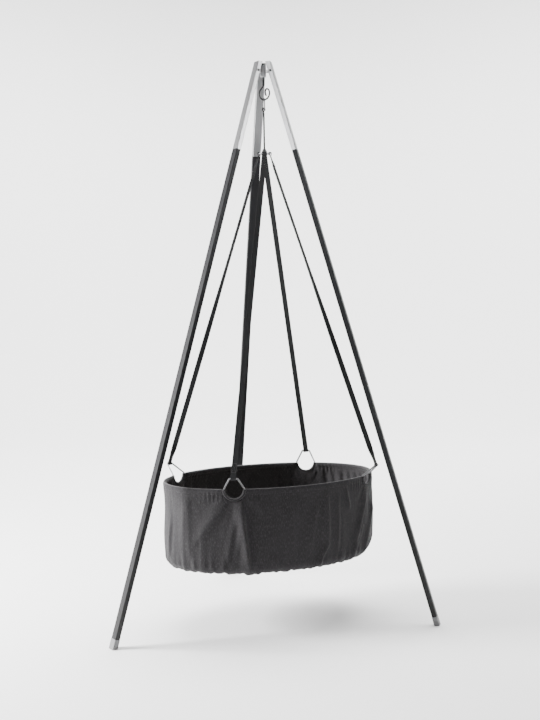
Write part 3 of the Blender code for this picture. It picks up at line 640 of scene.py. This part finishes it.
# Gathers at the bottom edge: waves round the tub, share of the height.
GATHERS = ((61, 0.5), (43, 0.35), (97, 0.3), (23, 0.35))
GATHER_START = 0.72  # share of the wall below which the gathers show
WALL_GATHER = 0.0026
EDGE_GATHER = 0.0028
EDGE_LIFT = 0.0010  # taken off the gathers round the bottom edge
BASE_GATHER = 0.0009
BASE_FADE = 9  # how fast the gathers die out towards the middle of the base
BASE_SLOPE = 0.25  # share of the base over which it levels out
BASE_POWER = 0.85  # crowds the base's rows a little towards its edge
BASE_REACH = 0.985  # of the last row, towards the middle


def crease(offset):
    """A ridge with one broad flank and one steep one."""
    return np.exp(-(offset / np.where(offset < 0, BROAD_FLANK, STEEP_FLANK)) ** 2)


def hanging_folds(stations, depth):
    """Soft upright folds all round, deeper towards the bottom."""
    rng = np.random.default_rng(FOLD_SEED)
    share = depth / WALL
    total = np.zeros_like(share)
    for i in range(FOLD_COUNT):
        place = (i + rng.uniform(*FOLD_SHIFTS)) * PERIMETER / FOLD_COUNT
        lean = rng.uniform(*FOLD_LEANS)
        width = rng.uniform(*FOLD_WIDTHS)
        size = rng.uniform(*FOLD_HEIGHTS)
        start = rng.uniform(*FOLD_STARTS)
        side = rng.choice((-1, 1))
        offset = side * around(stations - place - lean * depth) / width
        total += size * step(start, start + FOLD_GROWTH, share) * crease(offset)
    return total


def ring_creases(stations, depth):
    """Creases that run down and out from each ring, and puckers along the hem beside it."""
    total = np.zeros_like(stations + depth)
    for side, ring in RING_STATIONS.items():
        offset = around(stations - ring) * FAN_MIRROR[side]
        reach = np.hypot(offset, depth)
        angle = np.arctan2(offset, depth)
        for degrees, size, length in FAN:
            width = FAN_WIDTH + FAN_GROWTH * reach
            across = (angle - math.radians(degrees)) * reach / width
            strength = step(*FAN_START, reach) * (1 - step(length * FAN_FADE, length, reach))
            total += FAN_SHARE[side] * size * strength * crease(across)
        beside = bell(np.abs(offset), *PUCKER_PLACE)
        band = bell(depth, *PUCKER_DEPTH)
        wave = np.sin(offset * math.tau / PUCKER_PITCH + PUCKER_PHASE)
        total += PUCKER * beside * band * wave
    return total


def single_folds(stations, depth):
    """The larger folds, each along its own line."""
    total = np.zeros_like(stations + depth)
    for side, folds in FOLDS.items():
        for fold in folds:
            start, top, end, bottom, width, size = (MILLIMETRE * value for value in fold)
            line = np.array([end - start, bottom - top])
            length = np.hypot(*line)
            line = line / length
            offset = around(stations - RING_STATIONS[side] - start)
            drop = depth - top
            along = (offset * line[0] + drop * line[1]) / length
            across = (offset * line[1] - drop * line[0]) / width
            strength = step(*FOLD_RISE, along) * (1 - step(*FOLD_FALL, along))
            total += size * strength * crease(across)
    return total


def edge_gathers(stations):
    """Small gathers where the wall is sewn to the base."""
    rng = np.random.default_rng(GATHER_SEED)
    total = np.zeros_like(stations)
    for count, size in GATHERS:
        total += size * np.sin(math.tau * (count * stations / PERIMETER + rng.uniform(0, 1)))
    return total


def edge_radius(stations):
    """Radius of the bottom edge, larger where the cloth hangs slack at the right end."""
    return EDGE_RADIUS + SLACK_RADIUS * bell(around(stations - SLACK_STATION), 0, SLACK_REACH)


def wall_shape(stations, depth):
    """How far the cloth stands out from the tub's outline."""
    share = depth / WALL
    free = step(*HEM_HOLD, depth)
    left_end = bell(around(stations - PERIMETER / 2), 0, WAIST_REACH)
    waist = WAIST * left_end * bell(share, WAIST_SHARE, WAIST_SPREAD)
    belly = BELLY * np.sin(math.pi * np.clip(share, 0, 1)) ** BELLY_POWER
    gathers = WALL_GATHER * edge_gathers(stations) * step(GATHER_START, 1.0, share)
    folds = hanging_folds(stations, depth) + single_folds(stations, depth)
    soft = folds + belly - REST_INSET - waist
    return soft * free + ring_creases(stations, depth) + gathers


# ---- Tub ----
# Section of the rolled hem, outside then inside: depth below the cloth's top edge, and inset.
HEM_OUTER = ((0.0225, 0.0), (0.0205, 0.0), (0.0188, 0.0002), (0.0175, 0.0005), (0.0162, 0.0002),
             (0.0140, 0.0), (0.0100, 0.0), (0.0062, 0.0001), (0.0032, 0.0009), (0.0011, 0.0030))
HEM_INNER = ((0.0, 0.0062), (0.0009, 0.0094), (0.0032, 0.0116), (0.0062, 0.0122),
             (0.0095, 0.0116), (0.0128, 0.0092), (0.0158, 0.0062), (0.0176, 0.0050),
             (0.0195, 0.0056), (0.0225, 0.0048))
HEM_THIN = 0.0042  # thickness of the hem beside a ring
HEM_THINNING = 0.0055  # distance over which it thins
HEM_SETTLE = 0.12  # share of the wall over which its inner step fades


def tub_rows(stations):
    """Depth and outward arrays of every row, from outside by the bottom edge over to inside."""
    top = cutout_depth(stations)
    nearest = np.min([np.abs(around(stations - ring)) for ring in RING_STATIONS.values()], axis=0)
    thick = step(NOTCH, NOTCH + HEM_THINNING, nearest)
    start = top + HEM_OUTER[0][0]
    lowest = WALL - edge_radius(stations)
    down = [1 - (1 - i / WALL_ROWS) ** WALL_ROW_POWER for i in range(1, WALL_ROWS + 1)]
    flush = np.zeros_like(top)
    rows = []
    for share in down[::-1]:
        rows.append((start + (lowest - start) * share, flush))
    for depth, inset in HEM_OUTER:
        rows.append((top + depth, flush - inset))
    for depth, wide in HEM_INNER:
        narrow = min(wide, HEM_THIN)
        rows.append((top + depth, -(wide * thick + narrow * (1 - thick))))
    for share in down:
        settled = -(CLOTH + (HEM_INNER[-1][1] - CLOTH) * (1 - step(0, HEM_SETTLE, share)))
        rows.append((start + (lowest - start) * share, flush + settled))
    return rows


def base_rows(stations, thickness):
    """Rows from the wall's foot round the bottom edge to the middle."""
    gather = edge_gathers(stations)
    dip = LOW_DIP * bell(around(stations - RING_STATIONS["front"] - LOW_POINT), 0, LOW_WIDTH)
    radius = edge_radius(stations) - thickness
    edge_depth = WALL - edge_radius(stations)
    shape = wall_shape(stations, edge_depth)
    result = []
    for i in range(1, EDGE_ROWS + 1):
        turn = math.pi / 2 * i / EDGE_ROWS
        wave = (EDGE_GATHER * gather - EDGE_LIFT) * math.sin(turn)
        depth = edge_depth + radius * math.sin(turn)
        outwards = -thickness - radius * (1 - math.cos(turn)) + shape * math.cos(turn)
        points = outline_points(stations, depth, outwards)
        points[:, 2] -= (dip - wave) * math.sin(turn)
        result.append(points)
    edge = result[-1]
    centre = np.array([0.0, 0.0, BOTTOM + thickness])
    for i in range(1, BASE_ROWS + 1):
        share = (i / BASE_ROWS) ** BASE_POWER * BASE_REACH
        flat = edge * (1 - share) + centre * share
        flat[:, 2] = edge[:, 2] + (centre[2] - edge[:, 2]) * step(0, BASE_SLOPE, np.array(share))
        flat[:, 2] += BASE_GATHER * gather * math.exp(-share * BASE_FADE)
        result.append(flat)
    return result


def tub_mesh():
    """The tub as one closed cloth shell: outside, rolled hem, inside."""
    stations = column_stations()
    grid = base_rows(stations, 0.0)[::-1]
    for depth, outwards in tub_rows(stations):
        grid.append(outline_points(stations, depth, outwards + wall_shape(stations, depth)))
    grid.extend(base_rows(stations, CLOTH))
    points = np.array(grid)
    travelled = np.linalg.norm(np.diff(points, axis=0), axis=2).mean(axis=1)
    lengths = np.concatenate([[0], np.cumsum(travelled)])
    unrolled = np.append(stations, stations[0] + PERIMETER)
    return capped_mesh("tub_cloth", in_row_frame(points), unrolled, lengths)


def tub_surface(stations, depth, proud):
    """Points on the outside of the cloth, standing proud of it by a little."""
    outwards = wall_shape(stations, depth) + proud
    return in_row_frame(outline_points(stations, depth, outwards))


STITCH_MARGIN = 0.008  # between a cutout and the first stitch
STITCH_LENGTH = 0.0034
STITCH_POINTS = 3
STITCH_PITCH = 0.0052
STITCH_DEPTH = 0.0175
STITCH_PROUD = -0.0006
STITCH_ARCH = np.array([-0.0004, 0.0001, -0.0004])
STITCH_RADIUS = 0.00028
PIPING_MARGIN = 0.001
PIPING_POINTS = 130
PIPING_DEPTH = 0.0009
PIPING_INSET = 0.0034
PIPING_RADIUS = 0.0011


def hem_stitches(name, start, end, finish):
    """A row of short stitches along the outside of the hem."""
    start += STITCH_MARGIN
    end -= STITCH_MARGIN
    paths = []
    for i in range(int((end - start) / STITCH_PITCH)):
        along = start + i * STITCH_PITCH + np.linspace(0, STITCH_LENGTH, STITCH_POINTS)
        depth = np.full(STITCH_POINTS, STITCH_DEPTH)
        paths.append(tub_surface(along, depth, STITCH_PROUD + STITCH_ARCH))
    tube_piece(name, paths, STITCH_RADIUS, finish, sides=5)


def rim_piping(name, start, end, finish):
    """A thin rolled edge along the top of the hem."""
    along = np.linspace(start + PIPING_MARGIN, end - PIPING_MARGIN, PIPING_POINTS)
    path = outline_points(along, np.full_like(along, PIPING_DEPTH), -PIPING_INSET)
    tube_piece(name, [in_row_frame(path)], PIPING_RADIUS, finish, sides=8)


def build_tub(finishes):
    """Cloth shell, rim piping and hem stitching between each pair of rings."""
    tub = cradle_piece("tub_cloth", tub_mesh(), finishes["cloth"])
    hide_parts("cradle_fabric")
    order = sorted(RING_STATIONS.items(), key=lambda item: item[1])
    following = order[1:] + [(order[0][0], order[0][1] + PERIMETER)]
    for (side, ring), (_, next_ring) in zip(order, following):
        span = (ring + NOTCH, next_ring - NOTCH)
        hem_stitches(side + "_hem_stitches", *span, finishes["thread"])
        rim_piping(side + "_rim_piping", *span, finishes["trim"])


# ---- Rings, sleeves and straps ----
def ring_frame(side):
    """Axes at a ring in the row frame: along the rim, outwards, up, and the arc's centre."""
    angle = RING_ANGLES[side]
    outwards = Vector((math.cos(angle) / HALF_LENGTH, math.sin(angle) / HALF_WIDTH, 0))
    outwards.normalize()
    centre = Vector((HALF_LENGTH * math.cos(angle), HALF_WIDTH * math.sin(angle), RIM))
    centre -= outwards * WALL_MIDDLE
    place = Matrix((UP.cross(outwards), outwards, UP)).transposed().to_4x4()
    place.translation = centre
    return CRADLE @ place


SLEEVE_ARC = (183, 357, 88)  # degrees where a sleeve starts and ends, and its points
SLEEVE_RADIUS = 0.0052
# Gathers of a sleeve: share of its radius, waves per radian and phase.
SLEEVE_GATHERS = ((0.05, 31, 0), (0.03, 53, 1))
SEAM_LEANS = {"inner": math.radians(118), "outer": math.radians(38)}
SEAM_LIFT = 0.0053  # from the middle of the wire to the middle of a seam
SEAM_RADIUS = 0.0006
SEAM_TRIM = 2  # points of the arc left out at each end of a seam


def ring_sleeve(side, finishes):
    """Cloth sleeve gathered on a ring's lower arc, with two raised seams."""
    place = ring_frame(side)
    turns = np.radians(np.linspace(*SLEEVE_ARC))
    path = [place @ Vector((RING_ARC * math.cos(t), 0, RING_ARC * math.sin(t))) for t in turns]
    widths = [1 + sum(size * math.sin(count * t + phase) for size, count, phase in SLEEVE_GATHERS)
              for t in turns]
    sleeve = tube_piece(side + "_sleeve_cloth", [path], SLEEVE_RADIUS, finishes["cloth"],
                        sides=20, widths=widths)
    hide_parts(side + "_ring_sleeve")
    for label, lean in SEAM_LEANS.items():
        seam = []
        for t in turns[SEAM_TRIM:-SEAM_TRIM]:
            away = Vector((math.cos(t), 0, math.sin(t)))
            lift = away * math.cos(lean) + Vector((0, 1, 0)) * math.sin(lean)
            seam.append(place @ (away * RING_ARC + lift * SEAM_LIFT))
        name = f"{side}_sleeve_{label}_seam"
        tube_piece(name, [seam], SEAM_RADIUS, finishes["trim"])


STRAP_WIDTH = 0.017
STRAP_THICKNESS = 0.0017
SEWN_LENGTH = 0.042
STRAP_FACING = 0.95  # how far the long run of a strap turns from its ring to the front
# Shares of that turn, and from where to where along the run each is made.
TWISTS = ((0.37, (0.0, 0.05)), (0.63, (0.3, 0.8)))
RING_TWIST = (0.94, 0.99)  # where the run turns back to its ring
HUB_REACH = 0.0032 + STRAP_THICKNESS / 2
HUB_BULGE = 0.0012
HUB_DROP = 0.0045  # from the disc's bar down to the start of the run
RING_REACH = RING_WIRE + 0.0006 + STRAP_THICKNESS / 2
RING_GAP = 0.004  # between the end of the run and the loop round the ring
LAYER_GAP = 0.0001
END_POINTS = 9  # along a folded-back end
TURN_POINTS = 15  # round a bar
RUN_STEPS = 120
# Degrees round the plumb line of the disc's bars.
HUB_HEADINGS = {"right": 0, "rear": 90, "left": 180, "front": 270}
DISC_BAR = 0.01775  # from the plumb line to the middle of a bar of the disc
DISC_HEIGHT = (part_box("hub_disc")[0][2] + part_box("hub_disc")[1][2]) / 2


def strap_ends(side):
    """Middle and across direction of the bars that a strap joins, at the disc and the ring."""
    heading = math.radians(HUB_HEADINGS[side])
    hub_out = Vector((math.cos(heading), math.sin(heading), 0))
    hub = PLUMB + hub_out * DISC_BAR + UP * DISC_HEIGHT
    hub_across = UP.cross(hub_out)
    place = ring_frame(side)
    lean = RING_LEANS[side]
    ring = place @ Vector((0, RING_SIDE * math.sin(lean), RING_SIDE * math.cos(lean)))
    ring_across = -(place.to_3x3() @ Vector((1, 0, 0)))
    if ring_across.dot(hub_across) < 0:
        ring_across = -ring_across
    return hub, hub_across, ring, ring_across


# Section of the webbing, in shares of its width and thickness: rounded, slightly thicker edges.
BAND_EDGE = ((-0.5, -0.28), (-0.485, -0.5), (-0.44, -0.56), (-0.38, -0.5))
BAND_SECTION = (*BAND_EDGE, *[(-u, v) for u, v in BAND_EDGE[::-1]],
                *[(-u, -v) for u, v in BAND_EDGE], *[(u, -v) for u, v in BAND_EDGE[::-1]])


def band_mesh(name, middles, wides, thicks):
    """The webbing's section carried along a route."""
    points = np.array([[middle + wide * (u * STRAP_WIDTH) + thick * (v * STRAP_THICKNESS)
                        for u, v in BAND_SECTION]
                       for middle, wide, thick in zip(middles, wides, thicks)])
    steps = np.linalg.norm(np.diff(np.array(middles), axis=0), axis=1)
    travelled = np.concatenate([[0], np.cumsum(steps)])
    unrolled = [u * STRAP_WIDTH for u, _ in (*BAND_SECTION, BAND_SECTION[0])]
    return capped_mesh(name, points, unrolled, travelled)


def strap_route(side):
    """Middle line, across and thickness directions from the upper sewn end to the lower one."""
    hub, hub_across, ring, ring_across = strap_ends(side)
    run = (ring - hub).normalized()
    start = hub - UP * HUB_DROP
    end = ring - run * (RING_REACH + RING_GAP)
    length = (end - start).length
    middles, wides, thicks = [], [], []

    def add(point, wide, along):
        """Adds a point of the route that runs along a direction."""
        wide = (wide - along * wide.dot(along)).normalized()
        middles.append(point)
        wides.append(wide)
        thicks.append(along.cross(wide))

    facing = ring_across.lerp(Vector((math.copysign(1, ring_across.x), 0, 0)), STRAP_FACING)

    def run_wide(share):
        """Across direction at a share of the long run."""
        twist = sum(part * step(*span, share) for part, span in TWISTS)
        wide = hub_across.lerp(facing, float(twist))
        wide = wide.lerp(ring_across, float(step(*RING_TWIST, share)))
        return (wide - run * wide.dot(run)).normalized()

    def layer(share):
        """Offset of the folded-back layer from the main one."""
        return run.cross(run_wide(share)) * (STRAP_THICKNESS + LAYER_GAP)

    back = SEWN_LENGTH / length
    turns = [math.pi * i / (TURN_POINTS - 1) for i in range(TURN_POINTS)]
    for i in range(END_POINTS):
        share = back * (1 - i / END_POINTS)
        add(start.lerp(end, share) + layer(share), run_wide(share), -run)
    hub_down = -(UP - hub_across * UP.dot(hub_across)).normalized()
    hub_side = hub_across.cross(hub_down)
    inward = run.cross(run_wide(0)).dot(hub_side)
    turn_sign = 1 if inward > 0 else -1
    for turn in turns:
        radial = hub_side * (turn_sign * math.cos(turn)) - hub_down * math.sin(turn)
        travel = -hub_side * (turn_sign * math.sin(turn)) - hub_down * math.cos(turn)
        reach = HUB_REACH + HUB_BULGE * abs(math.cos(turn))
        add(hub + radial * reach, hub_across, travel)
    for i in range(RUN_STEPS + 1):
        share = i / RUN_STEPS
        add(start.lerp(end, share), run_wide(share), run)
    side_axis = run.cross(run_wide(1))
    for turn in turns:
        radial = -side_axis * math.cos(turn) + run * math.sin(turn)
        travel = side_axis * math.sin(turn) + run * math.cos(turn)
        add(ring + radial * RING_REACH, run_wide(1), travel)
    for i in range(END_POINTS):
        share = 1 - back * i / END_POINTS
        add(start.lerp(end, share) + layer(share), run_wide(share), -run)
    return middles, wides, thicks


BOX_HALF = STRAP_WIDTH * 0.36
BOX_ENDS = (0.24, 0.9)  # shares of the sewn length
# Pairs of the box's corners that a line of stitches joins.
BOX_LINES = ((0, 1), (1, 2), (2, 3), (3, 0), (0, 2), (3, 1))
SEWN_PITCH = 0.0032
SEWN_START = 0.04  # gap before a stitch, as a share of its line
SEWN_END = 0.72  # where a stitch ends, as a share of the pitch
# Height of the stitches over the middle of the nearer layer, behind it and in front of both.
FACE_LIFTS = (-0.6 * STRAP_THICKNESS, 1.6 * STRAP_THICKNESS)


def strap_stitches(side, finishes):
    """Box-and-cross stitching through both layers at each end of a strap."""
    route = strap_route(side)
    first = END_POINTS + TURN_POINTS
    length = (route[0][first + RUN_STEPS] - route[0][first]).length
    near, far = (share * SEWN_LENGTH / length for share in BOX_ENDS)

    def beside_run(share, across, lift):
        """A point beside the long run, at a share of its length."""
        index = first + share * RUN_STEPS
        i = min(int(index), first + RUN_STEPS - 1)
        middle, wide, thick = (part[i].lerp(part[i + 1], index - i) for part in route)
        return middle + wide.normalized() * across + thick.normalized() * lift

    paths = []
    for low, high in ((near, far), (1 - far, 1 - near)):
        corners = ((low, -BOX_HALF), (high, -BOX_HALF), (high, BOX_HALF), (low, BOX_HALF))
        for one, other in BOX_LINES:
            (t0, w0), (t1, w1) = corners[one], corners[other]
            count = max(2, round(math.hypot((t1 - t0) * length, w1 - w0) / SEWN_PITCH))
            for k in range(count):
                shares = np.linspace(k / count + SEWN_START, (k + SEWN_END) / count,
                                     STITCH_POINTS)
                for lift in FACE_LIFTS:
                    paths.append([beside_run(t0 + (t1 - t0) * share, w0 + (w1 - w0) * share, lift)
                                  for share in shares])
    name = side + "_strap_stitches"
    tube_piece(name, paths, STITCH_RADIUS, finishes["thread"], sides=4)


def build_strap(side, finishes):
    """One webbing strap, looped and sewn at both ends."""
    name = side + "_webbing"
    mesh = band_mesh(name, *strap_route(side))
    strap = cradle_piece(name, mesh, finishes["webbing"])
    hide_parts(side + "_strap")
    strap_stitches(side, finishes)


CORD_STRANDS = 6
CORD_PITCH = 0.016
CORD_REACH = 0.0018
CORD_POINTS = 90
CORD_FOOT = 0.001  # from the cone up to the strands
CORD_HEAD = 0.020  # from the strands up to the top of the cord's eye
STRAND_RADIUS = 0.0011


def cord_strands(finishes):
    """Twisted strands over the cord between its eye and the cone."""
    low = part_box("hub_cone")[1][2] + CORD_FOOT
    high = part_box("suspension_cord")[1][2] - CORD_HEAD
    heights = np.linspace(low, high, CORD_POINTS)
    paths = []
    for i in range(CORD_STRANDS):
        turns = math.tau * (heights / CORD_PITCH + i / CORD_STRANDS)
        paths.append(np.stack([PLUMB.x + CORD_REACH * np.cos(turns),
                               PLUMB.y + CORD_REACH * np.sin(turns), heights], axis=1))
    tube_piece("cord_strands", paths, STRAND_RADIUS, finishes["cord"])


# ---- Mattress ----
PAD_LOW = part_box("mattress")[0][2]
PAD_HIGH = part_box("mattress")[1][2]
PAD_INSET = 0.018
PAD_SLACK = 0.004  # room for the pad to swell at its sides
PAD_LIFT = 0.001
PAD_END = 0.009  # extra room at the right end, where the cloth hangs slack
PAD_END_POWER = 6
PAD_POINTS = 120
# Section of the slab's edge: inset and rise.
PAD_SECTION = ((0.010, 0.000), (0.002, 0.004), (0.0, 0.010), (0.0, 0.018), (0.003, 0.024),
               (0.012, 0.027))
PAD_SWELL = 0.010  # the furthest that swelling may move a point
VOXEL = 0.006
PRESSURE = 4
FRAMES = 20
TINY = 1e-9
PAD_FLOOR = 0.0006  # of the underside above the pad's lowest point
PAD_HEADROOM = 0.004
DENTS = ((0.0055, 0.016), (0.003, 0.05))  # depth and radius of the two parts of a tuft
DENT_START = 0.55  # share of the pad's height above which the tufts show
DENT_GROWTH = 0.3  # share of the height over which they deepen
BUTTON_RADIUS = 0.006
BUTTON_FLATNESS = 0.4
BUTTON_SINK = 0.0045
# Places of the tufts, in shares of the tub's half length and half width.
PAD_TUFTS = ((0.0, 0.0), (0.5, 0.0), (-0.5, 0.0), (0.25, 0.42), (-0.25, 0.42), (0.25, -0.42),
             (-0.25, -0.42))


def pad_start():
    """A slightly small oval slab, ready to be inflated."""
    rings = []
    for inset, rise in PAD_SECTION:
        ring = []
        for i in range(PAD_POINTS):
            angle = math.tau * i / PAD_POINTS
            reach = PAD_INSET + inset + PAD_SLACK
            if math.cos(angle) > 0:
                reach += PAD_END * math.cos(angle) ** PAD_END_POWER
            ring.append(CRADLE @ Vector(((HALF_LENGTH * TAPER - reach) * math.cos(angle),
                                         (HALF_WIDTH * TAPER - reach) * math.sin(angle),
                                         PAD_LOW + PAD_LIFT + rise)))
        rings.append(ring)
    builder = bmesh.new()
    add_rings(builder, rings)
    return closed_mesh("mattress_pad", builder)


def apply_modifiers(piece):
    """Replaces a piece's mesh by its evaluated one."""
    graph = bpy.context.evaluated_depsgraph_get()
    mesh = bpy.data.meshes.new_from_object(piece.evaluated_get(graph))
    piece.modifiers.clear()
    piece.data = mesh


def inflate(piece):
    """Blows a closed piece up as cloth, limiting how far each point may move."""
    remesh = piece.modifiers.new("remesh", "REMESH")
    remesh.mode = "VOXEL"
    remesh.voxel_size = VOXEL
    apply_modifiers(piece)
    before = np.array([v.co for v in piece.data.vertices])
    cloth = piece.modifiers.new("cloth", "CLOTH")
    cloth.settings.use_pressure = True
    cloth.settings.uniform_pressure_force = PRESSURE
    cloth.settings.effector_weights.gravity = 0
    scene = bpy.context.scene
    for number in range(1, FRAMES + 1):
        scene.frame_set(number)
    apply_modifiers(piece)
    scene.frame_set(1)
    moved = np.array([v.co for v in piece.data.vertices]) - before
    size = np.linalg.norm(moved, axis=1)[:, None]
    allowed = PAD_SWELL * np.tanh(size / PAD_SWELL) / np.maximum(size, TINY)
    after = before + moved * allowed
    piece.data.vertices.foreach_set("co", after.ravel())
    piece.data.update()


def pad_details(mesh):
    """Flattens the underside and the highest parts, and dents the top at the tufts."""
    inverse = CRADLE.inverted()
    for vertex in mesh.vertices:
        local = inverse @ vertex.co
        rise = (local.z - PAD_LOW) / (PAD_HIGH - PAD_LOW)
        top = max(0.0, min(1.0, (rise - DENT_START) / DENT_GROWTH))
        dent = 0.0
        for u, v in PAD_TUFTS:
            gap = math.hypot(local.x - u * HALF_LENGTH, local.y - v * HALF_WIDTH)
            dent += sum(size * math.exp(-(gap / radius) ** 2) for size, radius in DENTS)
        highest = min(PAD_HIGH + PAD_HEADROOM, local.z)
        local.z = max(PAD_LOW + PAD_FLOOR, highest - dent * top)
        vertex.co = CRADLE @ local


def build_mattress(finishes):
    """Foam pad in a cotton cover, inflated as cloth, with tufts."""
    pad = cradle_piece("mattress_pad", pad_start(), finishes["ticking"])
    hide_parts("mattress")
    inflate(pad)
    pad_details(pad.data)
    pad.data.shade_smooth()
    coat(pad.data, finishes["ticking"])
    smooth = pad.modifiers.new("smooth", "SUBSURF")
    smooth.levels = 1
    smooth.render_levels = 1
    builder = bmesh.new()
    for u, v in PAD_TUFTS:
        middle = CRADLE @ Vector((u * HALF_LENGTH, v * HALF_WIDTH, PAD_HIGH - BUTTON_SINK))
        place = Matrix.Translation(middle) @ Matrix.Diagonal((1, 1, BUTTON_FLATNESS, 1))
        bmesh.ops.create_uvsphere(builder, u_segments=16, v_segments=8, radius=BUTTON_RADIUS,
                                  matrix=place)
    name = "mattress_buttons"
    cradle_piece(name, closed_mesh(name, builder), finishes["ticking"])


# ---- CAD nodes ----
BEVELS = {"_foot_cap": 0.0012, "_upper_leg": 0.0006}
BEVEL_ANGLE = math.radians(40)


def dress_frame(finishes):
    """Gives every CAD node that still shows a finish, and the caps and upper legs rounded edges."""
    # The oval link takes the darker copy of the plating, painted dark as reflection of dark
    # surroundings.
    by_node = {"apex_bracket": "cast", "hanging_hook": "dark_steel", "swivel_nut": "plain_steel",
               "swivel_washer": "plain_steel", "oval_link": "link_steel",
               "suspension_cord": "cord", "hub_disc": "bright_steel", "hub_cone": "moulded",
               "base_board": "board"}
    for side in LEGS:
        by_node[side + "_upper_leg"] = side + "_silver"
        by_node[side + "_lower_leg"] = side + "_powder"
        by_node[side + "_spigot"] = "plain_steel"
        by_node[side + "_foot_cap"] = "foot"
        by_node[side + "_hinge_pin"] = "dark_steel"
    # The rings and hub disc take the plating whose colour is painted dark as reflection.
    for side in RING_ANGLES:
        by_node[side + "_ring"] = "bright_steel"
    for name in ("front_side", "rear_side", "left_end", "right_end"):
        by_node[name + "_rim_rod"] = "plain_steel"
    for name, finish in by_node.items():
        coat(NODES[name].data, finishes[finish])
    for side in LEGS:
        for part, width in BEVELS.items():
            edge = NODES[side + part].modifiers.new("edge", "BEVEL")
            edge.width = width
            edge.segments = 2
            edge.limit_method = "ANGLE"
            edge.angle_limit = BEVEL_ANGLE


# ---- Studio ----
def add_area(name, place, aim, size, power, spread=180):
    """A square soft light that the camera doesn't see, narrowed by a grid where spread is less."""
    light = bpy.data.lights.new(name, "AREA")
    light.size = size
    light.energy = power
    light.spread = math.radians(spread)
    lamp = bpy.data.objects.new(name, light)
    lamp.location = place
    lamp.rotation_euler = (Vector(aim) - Vector(place)).to_track_quat("-Z", "Y").to_euler()
    lamp.visible_camera = False
    bpy.context.collection.objects.link(lamp)


FLOOR_HALF = 9.0
FLOOR_FRONT = -7.0
CURVE_START = 4.5
CURVE_RADIUS = 2.0
CURVE_STEPS = 8
BACKDROP_TOP = 8.0
WORLD_STRENGTH = 0.25
# Name, place, aim, size, power, and where a grid narrows the lamp its spread in degrees.
LIGHTS = (
    ("left_key", (-3.3, -0.35, 1.6), (0, 0, 0.5), 1.3, 520),
    ("overhead", (0.2, 1.8, 4.4), (0.2, 1.3, 0), 4.0, 560),
    ("backdrop_left", (-3.4, 3.6, 3.2), (-1.0, 6.4, 1.2), 2.5, 300),
    ("backdrop_right", (3.4, 3.6, 3.2), (1.0, 6.4, 1.2), 2.5, 260),
    ("right_strip", (3.3, -1.3, 1.6), (0, 0, 1.2), 1.2, 6),
    ("top_right", (2.9, -1.05, 1.75), (0, 0, 1.75), 1.1, 4.5, 20),
    ("top_left", (-1.6, -2.6, 1.8), (0, 0, 1.75), 1.0, 2.2, 16))


def build_studio(finishes):
    """Pale floor with a curved backdrop, white surroundings and soft lamps."""
    profile = [(FLOOR_FRONT, 0.0), (CURVE_START, 0.0)]
    for i in range(1, CURVE_STEPS + 1):
        turn = math.pi / 2 * i / CURVE_STEPS
        profile.append((CURVE_START + CURVE_RADIUS * math.sin(turn),
                        CURVE_RADIUS * (1 - math.cos(turn))))
    profile.append((CURVE_START + CURVE_RADIUS, BACKDROP_TOP))
    builder = bmesh.new()
    rows = []
    for x in (-FLOOR_HALF, FLOOR_HALF):
        rows.append([builder.verts.new((x, y, z)) for y, z in profile])
    for i in range(len(profile) - 1):
        builder.faces.new((rows[0][i], rows[1][i], rows[1][i + 1], rows[0][i + 1]))
    mesh = bpy.data.meshes.new("studio")
    builder.to_mesh(mesh)
    builder.free()
    mesh.materials.append(finishes["floor"])
    mesh.shade_smooth()
    floor = bpy.data.objects.new("studio", mesh)
    bpy.context.collection.objects.link(floor)
    world = bpy.data.worlds.new("surroundings")
    world.use_nodes = True
    background = world.node_tree.nodes["Background"]
    background.inputs["Color"].default_value = (1, 1, 1, 1)
    background.inputs["Strength"].default_value = WORLD_STRENGTH
    bpy.context.scene.world = world
    for light in LIGHTS:
        add_area(*light)


def build_camera():
    """The viewing angle of the picture of this object."""
    data = bpy.data.cameras.new("camera")
    data.sensor_fit = "HORIZONTAL"
    data.sensor_width = SENSOR_WIDTH
    data.lens = LENS
    data.shift_x, data.shift_y = SHIFT
    camera = bpy.data.objects.new("camera", data)
    back = Vector((0, -CAMERA_DISTANCE, CAMERA_HEIGHT))
    pitch = Matrix.Rotation(math.pi / 2 - CAMERA_PITCH, 4, "X")
    roll = Matrix.Rotation(CAMERA_ROLL, 4, "Z")
    camera.matrix_world = Matrix.Translation(PLUMB + back) @ pitch @ roll
    bpy.context.collection.objects.link(camera)
    bpy.context.scene.camera = camera


# ---- Whole scene ----
def make_finishes():
    """Every material by a short name."""
    finishes = {"cloth": cloth_finish(), "trim": trim_finish(), "webbing": webbing_finish(),
                "ticking": ticking_finish(), "foot": foot_finish(), "board": board_finish(),
                "floor": floor_finish(), **grained_finishes()}
    for short, name, colour, *rest in PLATINGS:
        finishes[short] = plated_finish(name, colour, *rest)
    for side in LEGS:
        finishes[side + "_silver"] = silver_finish(side)
        finishes[side + "_powder"] = powder_finish(side)
    return finishes


def build_scene():
    """Pieces, finishes, studio and camera."""
    build_camera()
    finishes = make_finishes()
    dress_frame(finishes)
    build_tub(finishes)
    for side in RING_ANGLES:
        ring_sleeve(side, finishes)
        build_strap(side, finishes)
    cord_strands(finishes)
    build_mattress(finishes)
    build_studio(finishes)


build_scene()
